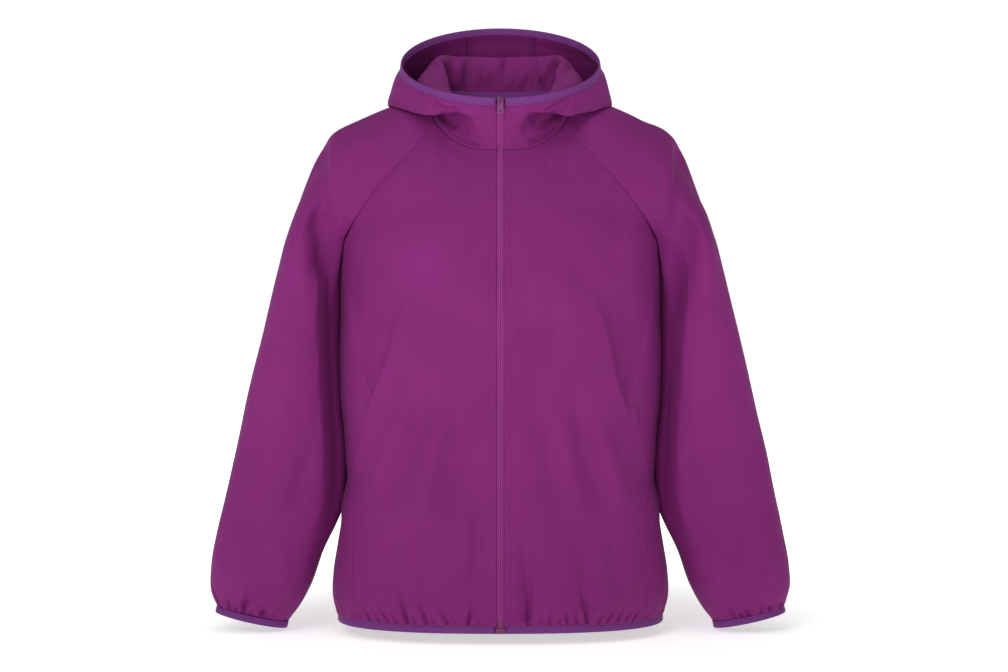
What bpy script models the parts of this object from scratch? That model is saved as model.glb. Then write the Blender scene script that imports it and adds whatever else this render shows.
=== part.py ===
"""A hooded full-zip windbreaker jacket, filled out as if worn and held up at the shoulders.

Metres, +Z up. The front faces -Y, and +X is the side on the right seen from the front. The
origin is the middle of the neck base, where the wearer's shoulders hold the jacket up.

The body is a stack of rings. From the neck seam to the armpits each ring crosses the front,
the raglan seam, the sleeve top, the back raglan seam and the back. Below the armpits the
rings part into one for the body and one for each sleeve. The hood is a fan of upright
sections round the neck. Cloth panels are sheets through these rings, given a thickness.
"""
import math

import bmesh
import bpy
import numpy as np

# Cloth and seams
CLOTH = 0.0012
PULL_BACK = 0.0002            # every cut edge stands this far back from its seam line
HOOD_LIFT = 0.0010            # the hood starts this far above the neck seam line
ARMPIT_GAP = 0.0019           # between the body wall and the sleeve wall, middle to middle
ARMPIT_OUT = (.0014, .0008)   # how far the sleeve's armpit ends stand out from the body's, in x and y
RAGLAN_EXTRA = 0.0008         # extra room at the raglan seam where the sleeve folds at the armpit
SHARPEST_CORNER = 0.3         # limits how far a panel's sharp corner is pulled back

# Panel divisions
FRONT_COLUMNS = 8
BACK_COLUMNS = 12
SIDE_COLUMNS = 4
SLEEVE_OUTER_COLUMNS = 12
SLEEVE_INNER_COLUMNS = 4

# Bindings, and the zip
BINDING_THICK = 0.0026
HOOD_BINDING = 0.0100
HEM_BINDING = 0.0105
CUFF_BINDING = 0.0090
BINDING_GAP = 0.0006
HEM_PULL = 0.0015             # how far the elastic draws the hem in
BINDING_END = 0.0068          # half the space between the binding's two ends at the zip
FRONT_EDGE = 0.0048           # half the space between the two front edges
CHAIN_WIDTH = 0.0052
CHAIN_THICK = 0.0016
TAPE_IN = 0.0032
TAPE_OUT = 0.0165
TAPE_THICK = 0.0008
TAPE_COLUMNS = 2
TAPE_BEHIND = 0.0020
HEM_Z = -0.7000
PIN_TOP_Z = -0.6774
PIN_SIZE = (.0056, .0024)     # width and depth
BOX_TOP_Z = -0.6930
BOX_SIZE = (.0122, .0036)
ZIP_GAP = 0.0004              # between the chain and what it runs into
SLIDER_TOP_Z = -0.0062
SLIDER_BOTTOM_Z = -0.0176

# From neck seam to armpit, a row for each ring. A raglan point is (x, y, z), a shoulder point
# (x, z), a centre point (y, z). "full" is how squarely the front and the back turn the
# corner, "drop" how late the height falls off, and "bulge" where the sleeve's rounding lies
# between raglan and shoulder, as shares of the way out and of the raglan's own depth.
YOKE = [
    dict(front=(-.088, -.0740), raglan=(.0880, -.050, -.0290), shoulder=(.0980, .0040),
         raglan_back=(.0800, .052, .0140), back=(.077, .0130), full=2.2, drop=3.0,
         bulge=(.80, .52), bulge_back=(.80, .52)),
    dict(front=(-.100, -.0940), raglan=(.1040, -.067, -.0580), shoulder=(.1500, -.0080),
         raglan_back=(.0980, .083, .0020), back=(.099, .0005), full=2.3, drop=2.6,
         bulge=(.66, .60), bulge_back=(.66, .62)),
    dict(front=(-.110, -.1140), raglan=(.1240, -.079, -.0820), shoulder=(.1950, -.0255),
         raglan_back=(.1220, .104, -.0240), back=(.115, -.0200), full=2.5, drop=2.3,
         bulge=(.66, .62), bulge_back=(.66, .62)),
    dict(front=(-.119, -.1330), raglan=(.1460, -.085, -.1050), shoulder=(.2255, -.0405),
         raglan_back=(.1480, .113, -.0550), back=(.126, -.0500), full=2.7, drop=2.1,
         bulge=(.67, .64), bulge_back=(.67, .62)),
    dict(front=(-.127, -.1510), raglan=(.1670, -.085, -.1300), shoulder=(.2450, -.0670),
         raglan_back=(.1720, .112, -.0920), back=(.133, -.0900), full=2.9, drop=2.0,
         bulge=(.68, .72), bulge_back=(.68, .66)),
    dict(front=(-.134, -.1700), raglan=(.1890, -.075, -.1600), shoulder=(.2660, -.1170),
         raglan_back=(.1930, .092, -.1380), back=(.138, -.1370), full=3.2, drop=2.0,
         bulge=(.68, 1.02), bulge_back=(.68, .86)),
]

# From armpit to hem, a row for each ring round the body.
BODY = [
    dict(height=-.1904, half_width=.2140, front=.140, back=.140, side_seam=.2075),
    dict(height=-.2440, half_width=.2132, front=.143, back=.142, side_seam=.2070),
    dict(height=-.2950, half_width=.2132, front=.143, back=.140, side_seam=.2005),
    dict(height=-.3400, half_width=.2148, front=.141, back=.137, side_seam=.1930),
    dict(height=-.3780, half_width=.2140, front=.140, back=.135, side_seam=.1810),
    dict(height=-.4050, half_width=.2128, front=.139, back=.134, side_seam=.1753),
    dict(height=-.4416, half_width=.2090, front=.138, back=.133, side_seam=.1827),
    dict(height=-.4826, half_width=.2062, front=.137, back=.133, side_seam=.1920),
    dict(height=-.5111, half_width=.2045, front=.137, back=.134, side_seam=.1955),
    dict(height=-.5410, half_width=.2118, front=.139, back=.137, side_seam=.1960),
    dict(height=-.5680, half_width=.2150, front=.141, back=.140, side_seam=.1953),
    dict(height=-.5960, half_width=.2195, front=.143, back=.143, side_seam=.1944),
    dict(height=-.6360, half_width=.2255, front=.144, back=.144, side_seam=.1930),
    dict(height=-.6680, half_width=.2260, front=.142, back=.142, side_seam=.1905),
    dict(height=-.6885, half_width=.2200, front=.137, back=.137, side_seam=.1868),
]
BODY_SQUARENESS = 2.5

# From armpit to cuff, a row for each ring round the sleeve. "lean" is its tilt in degrees.
SLEEVE = [
    dict(x=.2527, y=.000, z=-.1904, half_width=.0369, half_depth=.090, lean=0.0),
    dict(x=.2632, y=.000, z=-.2690, half_width=.0465, half_depth=.083, lean=3.0),
    dict(x=.2716, y=.000, z=-.3370, half_width=.0544, half_depth=.077, lean=5.0),
    dict(x=.2784, y=-.002, z=-.4050, half_width=.0633, half_depth=.072, lean=7.0),
    dict(x=.2825, y=-.004, z=-.4730, half_width=.0739, half_depth=.067, lean=8.5),
    dict(x=.2930, y=-.007, z=-.5410, half_width=.0778, half_depth=.063, lean=10.0),
    dict(x=.3112, y=-.010, z=-.5950, half_width=.0718, half_depth=.058, lean=11.5),
    dict(x=.3230, y=-.013, z=-.6400, half_width=.0676, half_depth=.052, lean=12.5),
    dict(x=.3315, y=-.015, z=-.6700, half_width=.0602, half_depth=.041, lean=12.7),
    dict(x=.3350, y=-.016, z=-.6905, half_width=.0485, half_depth=.029, lean=12.7),
]
CUFF_DROP = (.0005, -.0054)   # from the last sleeve ring to the middle of the cuff binding
INNER_FRONT_ANGLE = 145.0     # where the raglan line runs down the sleeve, from its outer side

# The rim of the hood is an ellipse on a plane that rises to the back.
RIM = dict(half_width=.1355, half_depth=.1275, centre_y=.0225, front_z=-.0085, rise=.5275)

# Upright sections of the hood, a row for each, by the angle from the front. Each place is
# (distance from the middle, height): the crest where the collar turns over, the outside of
# that roll, the bottom of the pouch, the fold it hangs on outside, and the outer wall.
HOOD = [
    dict(angle=0, crest=(.0905, -.0640), roll=(.0932, -.054), bottom=(.0960, -.044),
         fold=(.0990, -.034), wall=(.1020, -.024)),
    dict(angle=20, crest=(.0912, -.0520), roll=(.0942, -.045), bottom=(.0982, -.038),
         fold=(.1025, -.031), wall=(.1058, -.022)),
    dict(angle=33, crest=(.0955, -.0090), roll=(.1010, -.0070), bottom=(.1035, -.018),
         fold=(.1080, -.0265), wall=(.1105, -.0165)),
    dict(angle=43, crest=(.0900, .0010), roll=(.1055, .0035), bottom=(.1120, -.015),
         fold=(.1185, -.0285), wall=(.1190, -.0125)),
    dict(angle=65, crest=(.0760, .0160), roll=(.1100, .0195), bottom=(.1190, -.008),
         fold=(.1280, -.0205), wall=(.1290, .000)),
    dict(angle=90, crest=(.0790, .0395), roll=(.1020, .0380), bottom=(.1270, .005),
         fold=(.1500, -.0050), wall=(.1450, .020)),
    dict(angle=115, crest=(.0965, .0640), roll=(.1080, .0560), bottom=(.1360, .006),
         fold=(.1610, -.0090), wall=(.1580, .026)),
    dict(angle=130, crest=(.1060, .0740), roll=(.1210, .0680), bottom=(.1520, -.006),
         fold=(.1760, -.0300), wall=(.1670, .030)),
    dict(angle=145, crest=(.1053, .0755), roll=(.1250, .070), bottom=(.1640, -.046),
         fold=(.1850, -.0590), wall=(.1740, .032)),
    dict(angle=180, crest=(.0940, .0757), roll=(.1120, .069), bottom=(.1480, -.083),
         fold=(.1720, -.0880), wall=(.1750, .020)),
]
HOOD_PLACES = ("crest", "roll", "bottom", "fold", "wall")
HOOD_PANEL_HALF = 0.047       # half the width of the hood's middle panel
HOOD_SIDE_COLUMNS = 13
HOOD_CENTRE_COLUMNS = 6
HOOD_ROWS = (0, .5, 1, 1.33, 1.67, 2, 2.5, 3, 3.5, 4, 4.5, 5, 5.5)

# Back neck tape, its rise and height as shares of the way up to the crest
NECK_TAPE_ANGLE = 128.0
NECK_TAPE_THICK = 0.0010
NECK_TAPE_BEHIND = 0.0024
NECK_TAPE_RISE = -0.01
NECK_TAPE_HEIGHT = 0.15

# Slider and pull tab
SLIDER_WIDTH = 0.0086
SLIDER_THICK = 0.0042
BRIDGE_WIDTH = 0.0020
BRIDGE_STRIP = 0.0010
BRIDGE_REACH = 0.0038
BRIDGE_ROOT = 0.0006          # how deep the bridge goes into the slider's face
BRIDGE_TOP_Z = -0.0068
BRIDGE_BOTTOM_Z = -0.0122
TAB_THICK = 0.0011
TAB_WIDTH_TOP = 0.0066
TAB_WIDTH_END = 0.0086
TAB_LENGTH = 0.0192
TAB_WINDOW = 0.0028
TAB_WINDOW_LENGTH = 0.0056
TAB_BAR = 0.0006              # half the height of the bar above the window
TAB_HOLE_RADIUS = 0.0011
TAB_HOLE_UP = 0.0030          # from the tab's lower end to the middle of its hole
TAB_CORNER = 0.0014
TAB_AXIS_Z = -0.0103
TAB_AXIS_FORWARD = 0.0015     # from the slider's front face to the tab's axis


# ---------------------------------------------------------------- curves and rings

def through(points, places):
    """Points at the given row places on a smooth curve through all the rows' points."""
    points = np.asarray(points, float)
    steps = np.linalg.norm(np.diff(points, axis=0), axis=1)
    steps = np.maximum(steps, 1e-6)[:, None]
    slopes = np.diff(points, axis=0) / steps
    inner = (slopes[:-1] * steps[1:] + slopes[1:] * steps[:-1]) / (steps[:-1] + steps[1:])
    tangents = np.vstack([slopes[:1], inner, slopes[-1:]])
    result = []
    for place in places:
        row = min(int(place), len(points) - 2)
        share = place - row
        step = steps[row]
        start = (1 + 2 * share) * (1 - share) ** 2 * points[row]
        end = share ** 2 * (3 - 2 * share) * points[row + 1]
        leave = share * (1 - share) ** 2 * step * tangents[row]
        arrive = share ** 2 * (share - 1) * step * tangents[row + 1]
        result.append(start + end + leave + arrive)
    return np.array(result)


def at_angle(angles, values, angle):
    """Smooth value of a table column at an angle, level at 0 and 180 degrees."""
    angles = np.asarray(angles, float)
    values = np.asarray(values, float)
    spans = np.diff(angles)
    slopes = np.diff(values) / spans
    inner = (slopes[:-1] * spans[1:] + slopes[1:] * spans[:-1]) / (spans[:-1] + spans[1:])
    tangents = np.concatenate([[0.0], inner, [0.0]])
    row = int(np.clip(np.searchsorted(angles, angle) - 1, 0, len(spans) - 1))
    share = (angle - angles[row]) / spans[row]
    level = (1 + 2 * share) * (1 - share) ** 2 * values[row]
    level += share ** 2 * (3 - 2 * share) * values[row + 1]
    level += share * (1 - share) ** 2 * spans[row] * tangents[row]
    level += share ** 2 * (share - 1) * spans[row] * tangents[row + 1]
    return float(level)


def panel_row(across, edge, centre, full, drop):
    """Points of a front or back panel in one yoke ring, at shares of the raglan's x."""
    x = across * edge[0]
    share = np.abs(across)
    y = edge[1] + (centre[0] - edge[1]) * (1 - share ** full)
    z = edge[2] + (centre[1] - edge[2]) * (1 - share ** drop)
    return np.column_stack([x, y, z])


def body_point(row, turn):
    """A point on a body ring, by its turn in degrees from the front centre to the back."""
    angle = math.radians(turn)
    power = 2 / BODY_SQUARENESS
    x = row["half_width"] * abs(math.sin(angle)) ** power * math.copysign(1, math.sin(angle))
    depth = row["back"] if math.cos(angle) < 0 else row["front"]
    y = -depth * abs(math.cos(angle)) ** power * math.copysign(1, math.cos(angle))
    return (x, y, row["height"])


def body_turn(row, x):
    """The turn in degrees at which a body ring's front half reaches x."""
    return math.degrees(math.asin((x / row["half_width"]) ** (BODY_SQUARENESS / 2)))


def armpit_edges():
    """The two ends of the underarm seam: front and back raglan ends, on the top body ring."""
    top = BODY[0]
    turn = body_turn(top, top["side_seam"])
    return body_point(top, turn), body_point(top, 180 - turn)


def sleeve_top_row(ring, places):
    """The sleeve's part of a yoke ring, raglan to raglan over the shoulder."""
    front = np.array(ring["raglan"])
    back = np.array(ring["raglan_back"])
    shoulder = np.array([ring["shoulder"][0], 0, ring["shoulder"][1]])
    middles = []
    for edge, bulge in ((front, ring["bulge"]), (back, ring["bulge_back"])):
        middle = edge + (shoulder - edge) * bulge[0]
        middle[1] = edge[1] * bulge[1]
        middles.append(middle)
    return through([front, middles[0], shoulder, middles[1], back], places)


def sleeve_point(ring, angle):
    """A point on a sleeve ring, by the angle from its outer side towards the front."""
    lean = math.radians(ring["lean"])
    out = ring["half_width"] * math.cos(math.radians(angle))
    fore = ring["half_depth"] * math.sin(math.radians(angle))
    return (ring["x"] + out * math.cos(lean), ring["y"] - fore, ring["z"] + out * math.sin(lean))


def neck_ring(count=181):
    """The neck seam line from front centre to back centre on the +X side."""
    ring = YOKE[0]
    across = np.linspace(0, 1, count)
    front = panel_row(across, ring["raglan"], ring["front"], ring["full"], ring["drop"])
    side = sleeve_top_row(ring, np.linspace(0, 4, count))
    back = panel_row(across[::-1], ring["raglan_back"], ring["back"], ring["full"], ring["full"])
    return np.vstack([front, side[1:-1], back])


NECK = neck_ring()
NECK_ANGLES = np.degrees(np.arctan2(NECK[:, 0], -NECK[:, 1]))


def rim_point(angle):
    """(distance from the middle, height) of the hood's rim at an angle from the front."""
    sine, cosine = math.sin(math.radians(angle)), math.cos(math.radians(angle))
    square = (sine / RIM["half_width"]) ** 2 + (cosine / RIM["half_depth"]) ** 2
    linear = cosine * RIM["centre_y"] / RIM["half_depth"] ** 2
    constant = (RIM["centre_y"] / RIM["half_depth"]) ** 2 - 1
    distance = (-linear + math.sqrt(linear ** 2 - square * constant)) / square
    front_y = RIM["centre_y"] - RIM["half_depth"]
    height = RIM["front_z"] + (-distance * cosine - front_y) * RIM["rise"]
    return distance, height


def hood_section(angle):
    """The hood's section at an angle, from the neck seam to the rim, as 7 points."""
    side = -1 if angle > 180 else 1
    turn = min(angle, 360 - angle)
    neck = np.array([np.interp(turn, NECK_ANGLES, NECK[:, axis]) for axis in range(3)])
    angles = [row["angle"] for row in HOOD]
    places = []
    for place in HOOD_PLACES:
        distance = at_angle(angles, [row[place][0] for row in HOOD], turn)
        height = at_angle(angles, [row[place][1] for row in HOOD], turn)
        places.append((distance, height))
    places.append(rim_point(turn))
    radians = math.radians(turn)
    section = [neck]
    for distance, height in places:
        section.append((distance * math.sin(radians), -distance * math.cos(radians), height))
    section = np.array(section)
    lift = section[1] - section[0]
    section[0] += lift / np.linalg.norm(lift) * HOOD_LIFT
    section[:, 0] *= side
    return section


def hood_point(angle, place):
    """A point of the hood: the last stretch of each section stops short for the binding."""
    section = hood_section(angle)
    if place <= 5:
        return through(section, [place])[0]
    last = np.linalg.norm(section[6] - section[5])
    share = (place - 5) / 0.5
    return through(section, [5 + share * (1 - (HOOD_BINDING + BINDING_GAP) / last)])[0]


def angle_at_x(place, x, low, high):
    """The angle between low and high at which the hood reaches x in the given place."""
    for _ in range(24):
        middle = (low + high) / 2
        if (hood_point(middle, place)[0] - x) * (hood_point(high, place)[0] - x) > 0:
            high = middle
        else:
            low = middle
    return (low + high) / 2


# ---------------------------------------------------------------- making objects

def clear_scene():
    for item in list(bpy.data.objects):
        bpy.data.objects.remove(item, do_unlink=True)


def material(name, colour, roughness, metallic=0.0):
    finish = bpy.data.materials.new(name)
    finish.use_nodes = True
    shader = finish.node_tree.nodes["Principled BSDF"]
    shader.inputs["Base Color"].default_value = (*colour, 1.0)
    shader.inputs["Roughness"].default_value = roughness
    shader.inputs["Metallic"].default_value = metallic
    return finish


def add_mesh(name, bm, finish, collection):
    mesh = bpy.data.meshes.new(name)
    bm.to_mesh(mesh)
    bm.free()
    mesh.materials.append(finish)
    piece = bpy.data.objects.new(name, mesh)
    collection.objects.link(piece)
    return piece


def add_grid(bm, grid):
    """Quads through a grid of points: a list of rows, each with the same columns."""
    rows = [[bm.verts.new(point) for point in row] for row in grid]
    for lower, upper in zip(rows, rows[1:]):
        for a, b, c, d in zip(lower, lower[1:], upper[1:], upper):
            bm.faces.new((a, b, c, d))


def pull_back_edges(bm):
    """Move the open edges into the cloth, so neighbours leave a gap at their seam."""
    moves = {}
    for edge in bm.edges:
        if not edge.is_boundary:
            continue
        along = (edge.verts[1].co - edge.verts[0].co).normalized()
        inward = edge.link_faces[0].calc_center_median() - edge.verts[0].co
        inward -= along * inward.dot(along)
        for vert in edge.verts:
            moves.setdefault(vert, []).append(inward.normalized())
    for vert, directions in moves.items():
        total = sum(directions[1:], directions[0].copy())
        vert.co += total / max(total.dot(directions[0]), SHARPEST_CORNER) * PULL_BACK


def cloth_panel(name, grids, finish, collection, thick=CLOTH):
    """A sewn panel: its grids joined where they share points, with the cloth's thickness."""
    bm = bmesh.new()
    for grid in grids:
        add_grid(bm, grid)
    bmesh.ops.remove_doubles(bm, verts=bm.verts, dist=1e-5)
    bmesh.ops.recalc_face_normals(bm, faces=bm.faces)
    pull_back_edges(bm)
    piece = add_mesh(name, bm, finish, collection)
    piece.data.shade_smooth()
    wall = piece.modifiers.new("cloth", "SOLIDIFY")
    wall.thickness = thick
    wall.offset = 0
    wall.use_even_offset = True
    return piece


def strip(name, path, ups, outs, width, thick, finish, collection, closed=False):
    """A flat band with rounded edges along a path, standing on ups and facing outs."""
    profile = [(-.5, 0), (-.38, .5), (.38, .5), (.5, 0), (.38, -.5), (-.38, -.5)]
    bm = bmesh.new()
    rings = []
    for point, up, out in zip(path, ups, outs):
        ring = [point + up * width * a + out * thick * b for a, b in profile]
        rings.append([bm.verts.new(place) for place in ring])
    pairs = list(zip(rings, rings[1:]))
    if closed:
        pairs.append((rings[-1], rings[0]))
    else:
        bm.faces.new(rings[0])
        bm.faces.new(rings[-1][::-1])
    for near, far in pairs:
        for i in range(len(profile)):
            j = (i + 1) % len(profile)
            bm.faces.new((near[i], near[j], far[j], far[i]))
    bmesh.ops.recalc_face_normals(bm, faces=bm.faces)
    piece = add_mesh(name, bm, finish, collection)
    piece.data.shade_smooth()
    piece.data.set_sharp_from_angle(angle=math.radians(40))
    return piece


def unit(vectors):
    vectors = np.asarray(vectors, float)
    return vectors / np.linalg.norm(vectors, axis=-1, keepdims=True)


def path_directions(path, closed=False):
    """Unit direction of a path at each of its points."""
    if closed:
        return unit(np.roll(path, -1, axis=0) - np.roll(path, 1, axis=0))
    return unit(np.gradient(path, axis=0))


def mirrored(grids, side):
    """The grids of the +X piece, or turned over for the -X piece."""
    if side > 0:
        return grids
    return [[[(-point[0], point[1], point[2]) for point in row] for row in grid]
            for grid in grids]


# ---------------------------------------------------------------- the body panels

def front_grid():
    """From the zip edge to the raglan seam and the side seam, neck to hem."""
    shares = np.sin(np.linspace(0, math.pi / 2, FRONT_COLUMNS + 1))
    grid = []
    for ring in YOKE:
        start = FRONT_EDGE / ring["raglan"][0]
        across = start + (1 - start) * shares
        grid.append(panel_row(across, ring["raglan"], ring["front"], ring["full"], ring["drop"]))
    for row in BODY:
        xs = FRONT_EDGE + (row["side_seam"] - FRONT_EDGE) * shares
        grid.append([body_point(row, body_turn(row, x)) for x in xs])
    return [grid]


def back_grids():
    """The back between the raglan seams, and below the armpits round to both side seams."""
    shares = np.sin(np.linspace(-math.pi / 2, math.pi / 2, BACK_COLUMNS + 1))
    upper = []
    for ring in YOKE:
        upper.append(panel_row(shares, ring["raglan_back"], ring["back"], ring["full"],
                               ring["full"]))
    middle, sides = [], ([], [])
    for row in BODY:
        line = BODY[0]["side_seam"] * row["half_width"] / BODY[0]["half_width"]
        edge = 180 - body_turn(row, line)
        middle.append([body_point(row, 180 - math.copysign(body_turn(row, abs(share) * line),
                                                           share)) for share in shares])
        turns = np.linspace(body_turn(row, row["side_seam"]), edge, SIDE_COLUMNS + 1)
        for side, rows in zip((1, -1), sides):
            rows.append([body_point(row, side * turn) for turn in turns])
    upper.append(middle[0])
    return [upper, middle, sides[0], sides[1]]


def sleeve_grids():
    """The sleeve over the shoulder and down the outside, and its inner side below the arm."""
    outer_places = np.linspace(0, 4, SLEEVE_OUTER_COLUMNS + 1)
    outer_angles = np.linspace(INNER_FRONT_ANGLE, -INNER_FRONT_ANGLE, SLEEVE_OUTER_COLUMNS + 1)
    inner_angles = np.linspace(-INNER_FRONT_ANGLE, INNER_FRONT_ANGLE - 360,
                               SLEEVE_INNER_COLUMNS + 1)
    outer = []
    for index, ring in enumerate(YOKE):
        row = sleeve_top_row(ring, outer_places)
        extra = RAGLAN_EXTRA * index / (len(YOKE) - 1)
        row[0] += unit(row[1] - row[0]) * extra
        row[-1] += unit(row[-2] - row[-1]) * extra
        outer.append(row)
    front, back = (np.array(edge) for edge in armpit_edges())
    front += (ARMPIT_OUT[0], -ARMPIT_OUT[1], 0)
    back += (ARMPIT_OUT[0], ARMPIT_OUT[1], 0)
    top = SLEEVE[0]
    bulge_front = sleeve_point(top, INNER_FRONT_ANGLE / 2)
    bulge_back = sleeve_point(top, -INNER_FRONT_ANGLE / 2)
    shoulder = sleeve_point(top, 0)
    outer.append(through([front, bulge_front, shoulder, bulge_back, back], outer_places))
    under = np.linspace(back, front, SLEEVE_INNER_COLUMNS + 1)
    for point in under[1:-1]:
        depth = abs(point[1]) / BODY[0]["front"]
        turn = math.degrees(math.asin(depth ** (BODY_SQUARENESS / 2)))
        point[0] = body_point(BODY[0], 90 - turn)[0] + ARMPIT_GAP
    inner = [under]
    for ring in SLEEVE[1:]:
        outer.append([sleeve_point(ring, angle) for angle in outer_angles])
        inner.append([sleeve_point(ring, angle) for angle in inner_angles])
    return [outer, inner]


# ---------------------------------------------------------------- hood

def hood_side_grid():
    """One hood side: from its edge at the zip round to the seam of the middle panel."""
    grid = []
    for place in HOOD_ROWS:
        start = angle_at_x(place, FRONT_EDGE, 0, 40)
        end = angle_at_x(place, HOOD_PANEL_HALF, 110, 179)
        grid.append([hood_point(angle, place)
                     for angle in np.linspace(start, end, HOOD_SIDE_COLUMNS + 1)])
    return [grid]


def hood_centre_grid():
    """The middle panel, from the back neck over the roll and the pouch to the rim."""
    grid = []
    for place in HOOD_ROWS:
        edge = angle_at_x(place, HOOD_PANEL_HALF, 110, 179)
        grid.append([hood_point(angle, place)
                     for angle in np.linspace(edge, 360 - edge, HOOD_CENTRE_COLUMNS + 1)])
    return [grid]


def hood_binding(finish, collection):
    start = math.degrees(math.asin(BINDING_END / rim_point(0)[0]))
    path, ups = [], []
    for angle in np.linspace(start, 360 - start, 41):
        section = hood_section(angle)
        up = unit(section[6] - through(section, [5.8])[0])
        path.append(section[6] - up * HOOD_BINDING / 2)
        ups.append(up)
    outs = unit(np.cross(path_directions(np.array(path)), ups))
    return strip("hood_binding", path, ups, outs, HOOD_BINDING, BINDING_THICK, finish, collection)


def back_neck_tape(finish, collection):
    """Lies on the inside of the hood along the back of the neck seam."""
    angles = np.linspace(NECK_TAPE_ANGLE, 360 - NECK_TAPE_ANGLE, 15)
    grid = []
    for place in (NECK_TAPE_RISE, NECK_TAPE_RISE + NECK_TAPE_HEIGHT):
        row = np.array([hood_point(angle, place) for angle in angles])
        row[:, :2] -= unit(row[:, :2]) * NECK_TAPE_BEHIND
        grid.append(row)
    return cloth_panel("back_neck_tape", [grid], finish, collection, NECK_TAPE_THICK)


# ---------------------------------------------------------------- hem and cuffs

def hem_binding(finish, collection):
    row = dict(BODY[-1])
    row["height"] = HEM_Z + HEM_BINDING / 2
    for size in ("half_width", "front", "back"):
        row[size] -= HEM_PULL
    start = body_turn(row, BINDING_END)
    turns = np.concatenate([[start], np.linspace(14, 346, 45), [360 - start]])
    path = np.array([body_point(row, turn) for turn in turns])
    ups = np.tile([0.0, 0.0, 1.0], (len(path), 1))
    outs = unit(np.cross(path_directions(path), ups))
    return strip("hem_binding", path, ups, outs, HEM_BINDING, BINDING_THICK, finish, collection)


def cuff_binding(name, side, finish, collection):
    ring = dict(SLEEVE[-1])
    ring["x"] += CUFF_DROP[0]
    ring["z"] += CUFF_DROP[1]
    lean = math.radians(ring["lean"])
    angles = np.linspace(0, 360, 21)[:-1]
    path = np.array([sleeve_point(ring, angle) for angle in angles]) * (side, 1, 1)
    up = np.array([-math.sin(lean) * side, 0, math.cos(lean)])
    ups = np.tile(up, (len(path), 1))
    outs = unit(np.cross(path_directions(path, closed=True), ups))
    return strip(name, path, ups, outs, CUFF_BINDING, BINDING_THICK, finish, collection, True)


# ---------------------------------------------------------------- zip

def zip_line():
    """The middle of the jacket's front from the hem to the rim, in the plane x = 0."""
    body = [(0, -row["front"], row["height"]) for row in reversed(BODY)]
    yoke = [(0, *ring["front"]) for ring in reversed(YOKE)]
    hood = [hood_point(0, place) for place in (1, 2, 3, 4, 5)]
    rim = hood_section(0)[6]
    return np.array([*body, *yoke, *hood, rim])


def zip_stretch(bottom, top):
    """The zip line between two heights, with its ends placed on it."""
    line = zip_line()
    heights = line[:, 2]
    inner = line[(heights > bottom + .002) & (heights < top - .002)]
    ends = [(0, np.interp(z, heights, line[:, 1]), z) for z in (bottom, top)]
    return np.array([ends[0], *inner, ends[1]])


def zip_tape(name, side, finish, collection):
    """A tape behind one front edge, made from the front's and the hood's own points."""
    xs = np.linspace(TAPE_IN, TAPE_OUT, TAPE_COLUMNS + 1)
    grid = []
    for place in reversed(HOOD_ROWS[2:-2]):
        grid.append([hood_point(angle_at_x(place, x, 0, 40), place) for x in xs])
    for ring in YOKE:
        across = xs / ring["raglan"][0]
        grid.append(panel_row(across, ring["raglan"], ring["front"], ring["full"], ring["drop"]))
    for row in BODY:
        grid.append([body_point(row, body_turn(row, x)) for x in xs])
    grid = np.array(grid) + (0, TAPE_BEHIND, 0)
    return cloth_panel(name, mirrored([grid], side), finish, collection, TAPE_THICK)


def zip_chain(finish, collection):
    path = zip_stretch(PIN_TOP_Z + ZIP_GAP, SLIDER_BOTTOM_Z - ZIP_GAP)
    across = np.tile([1.0, 0.0, 0.0], (len(path), 1))
    outs = unit(np.cross(across, path_directions(path)))
    return strip("zip_chain", path, across, outs, CHAIN_WIDTH, CHAIN_THICK, finish, collection)


def block(name, size, centre, finish, collection, bevel=0.0004):
    """A box with rounded edges."""
    bm = bmesh.new()
    bmesh.ops.create_cube(bm, size=1.0)
    bmesh.ops.scale(bm, vec=size, verts=bm.verts)
    piece = add_mesh(name, bm, finish, collection)
    piece.location = centre
    rounding = piece.modifiers.new("rounded", "BEVEL")
    rounding.width = bevel
    rounding.segments = 2
    return piece


def front_y(z):
    line = zip_line()
    return float(np.interp(z, line[:, 2], line[:, 1]))


def zip_box_and_pin(finish, collection):
    for name, size, low, top in (("zip_box", BOX_SIZE, HEM_Z, BOX_TOP_Z),
                                 ("zip_pin", PIN_SIZE, BOX_TOP_Z + ZIP_GAP, PIN_TOP_Z)):
        middle = (low + top) / 2
        block(name, (*size, top - low), (0, front_y(middle), middle), finish, collection)


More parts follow.
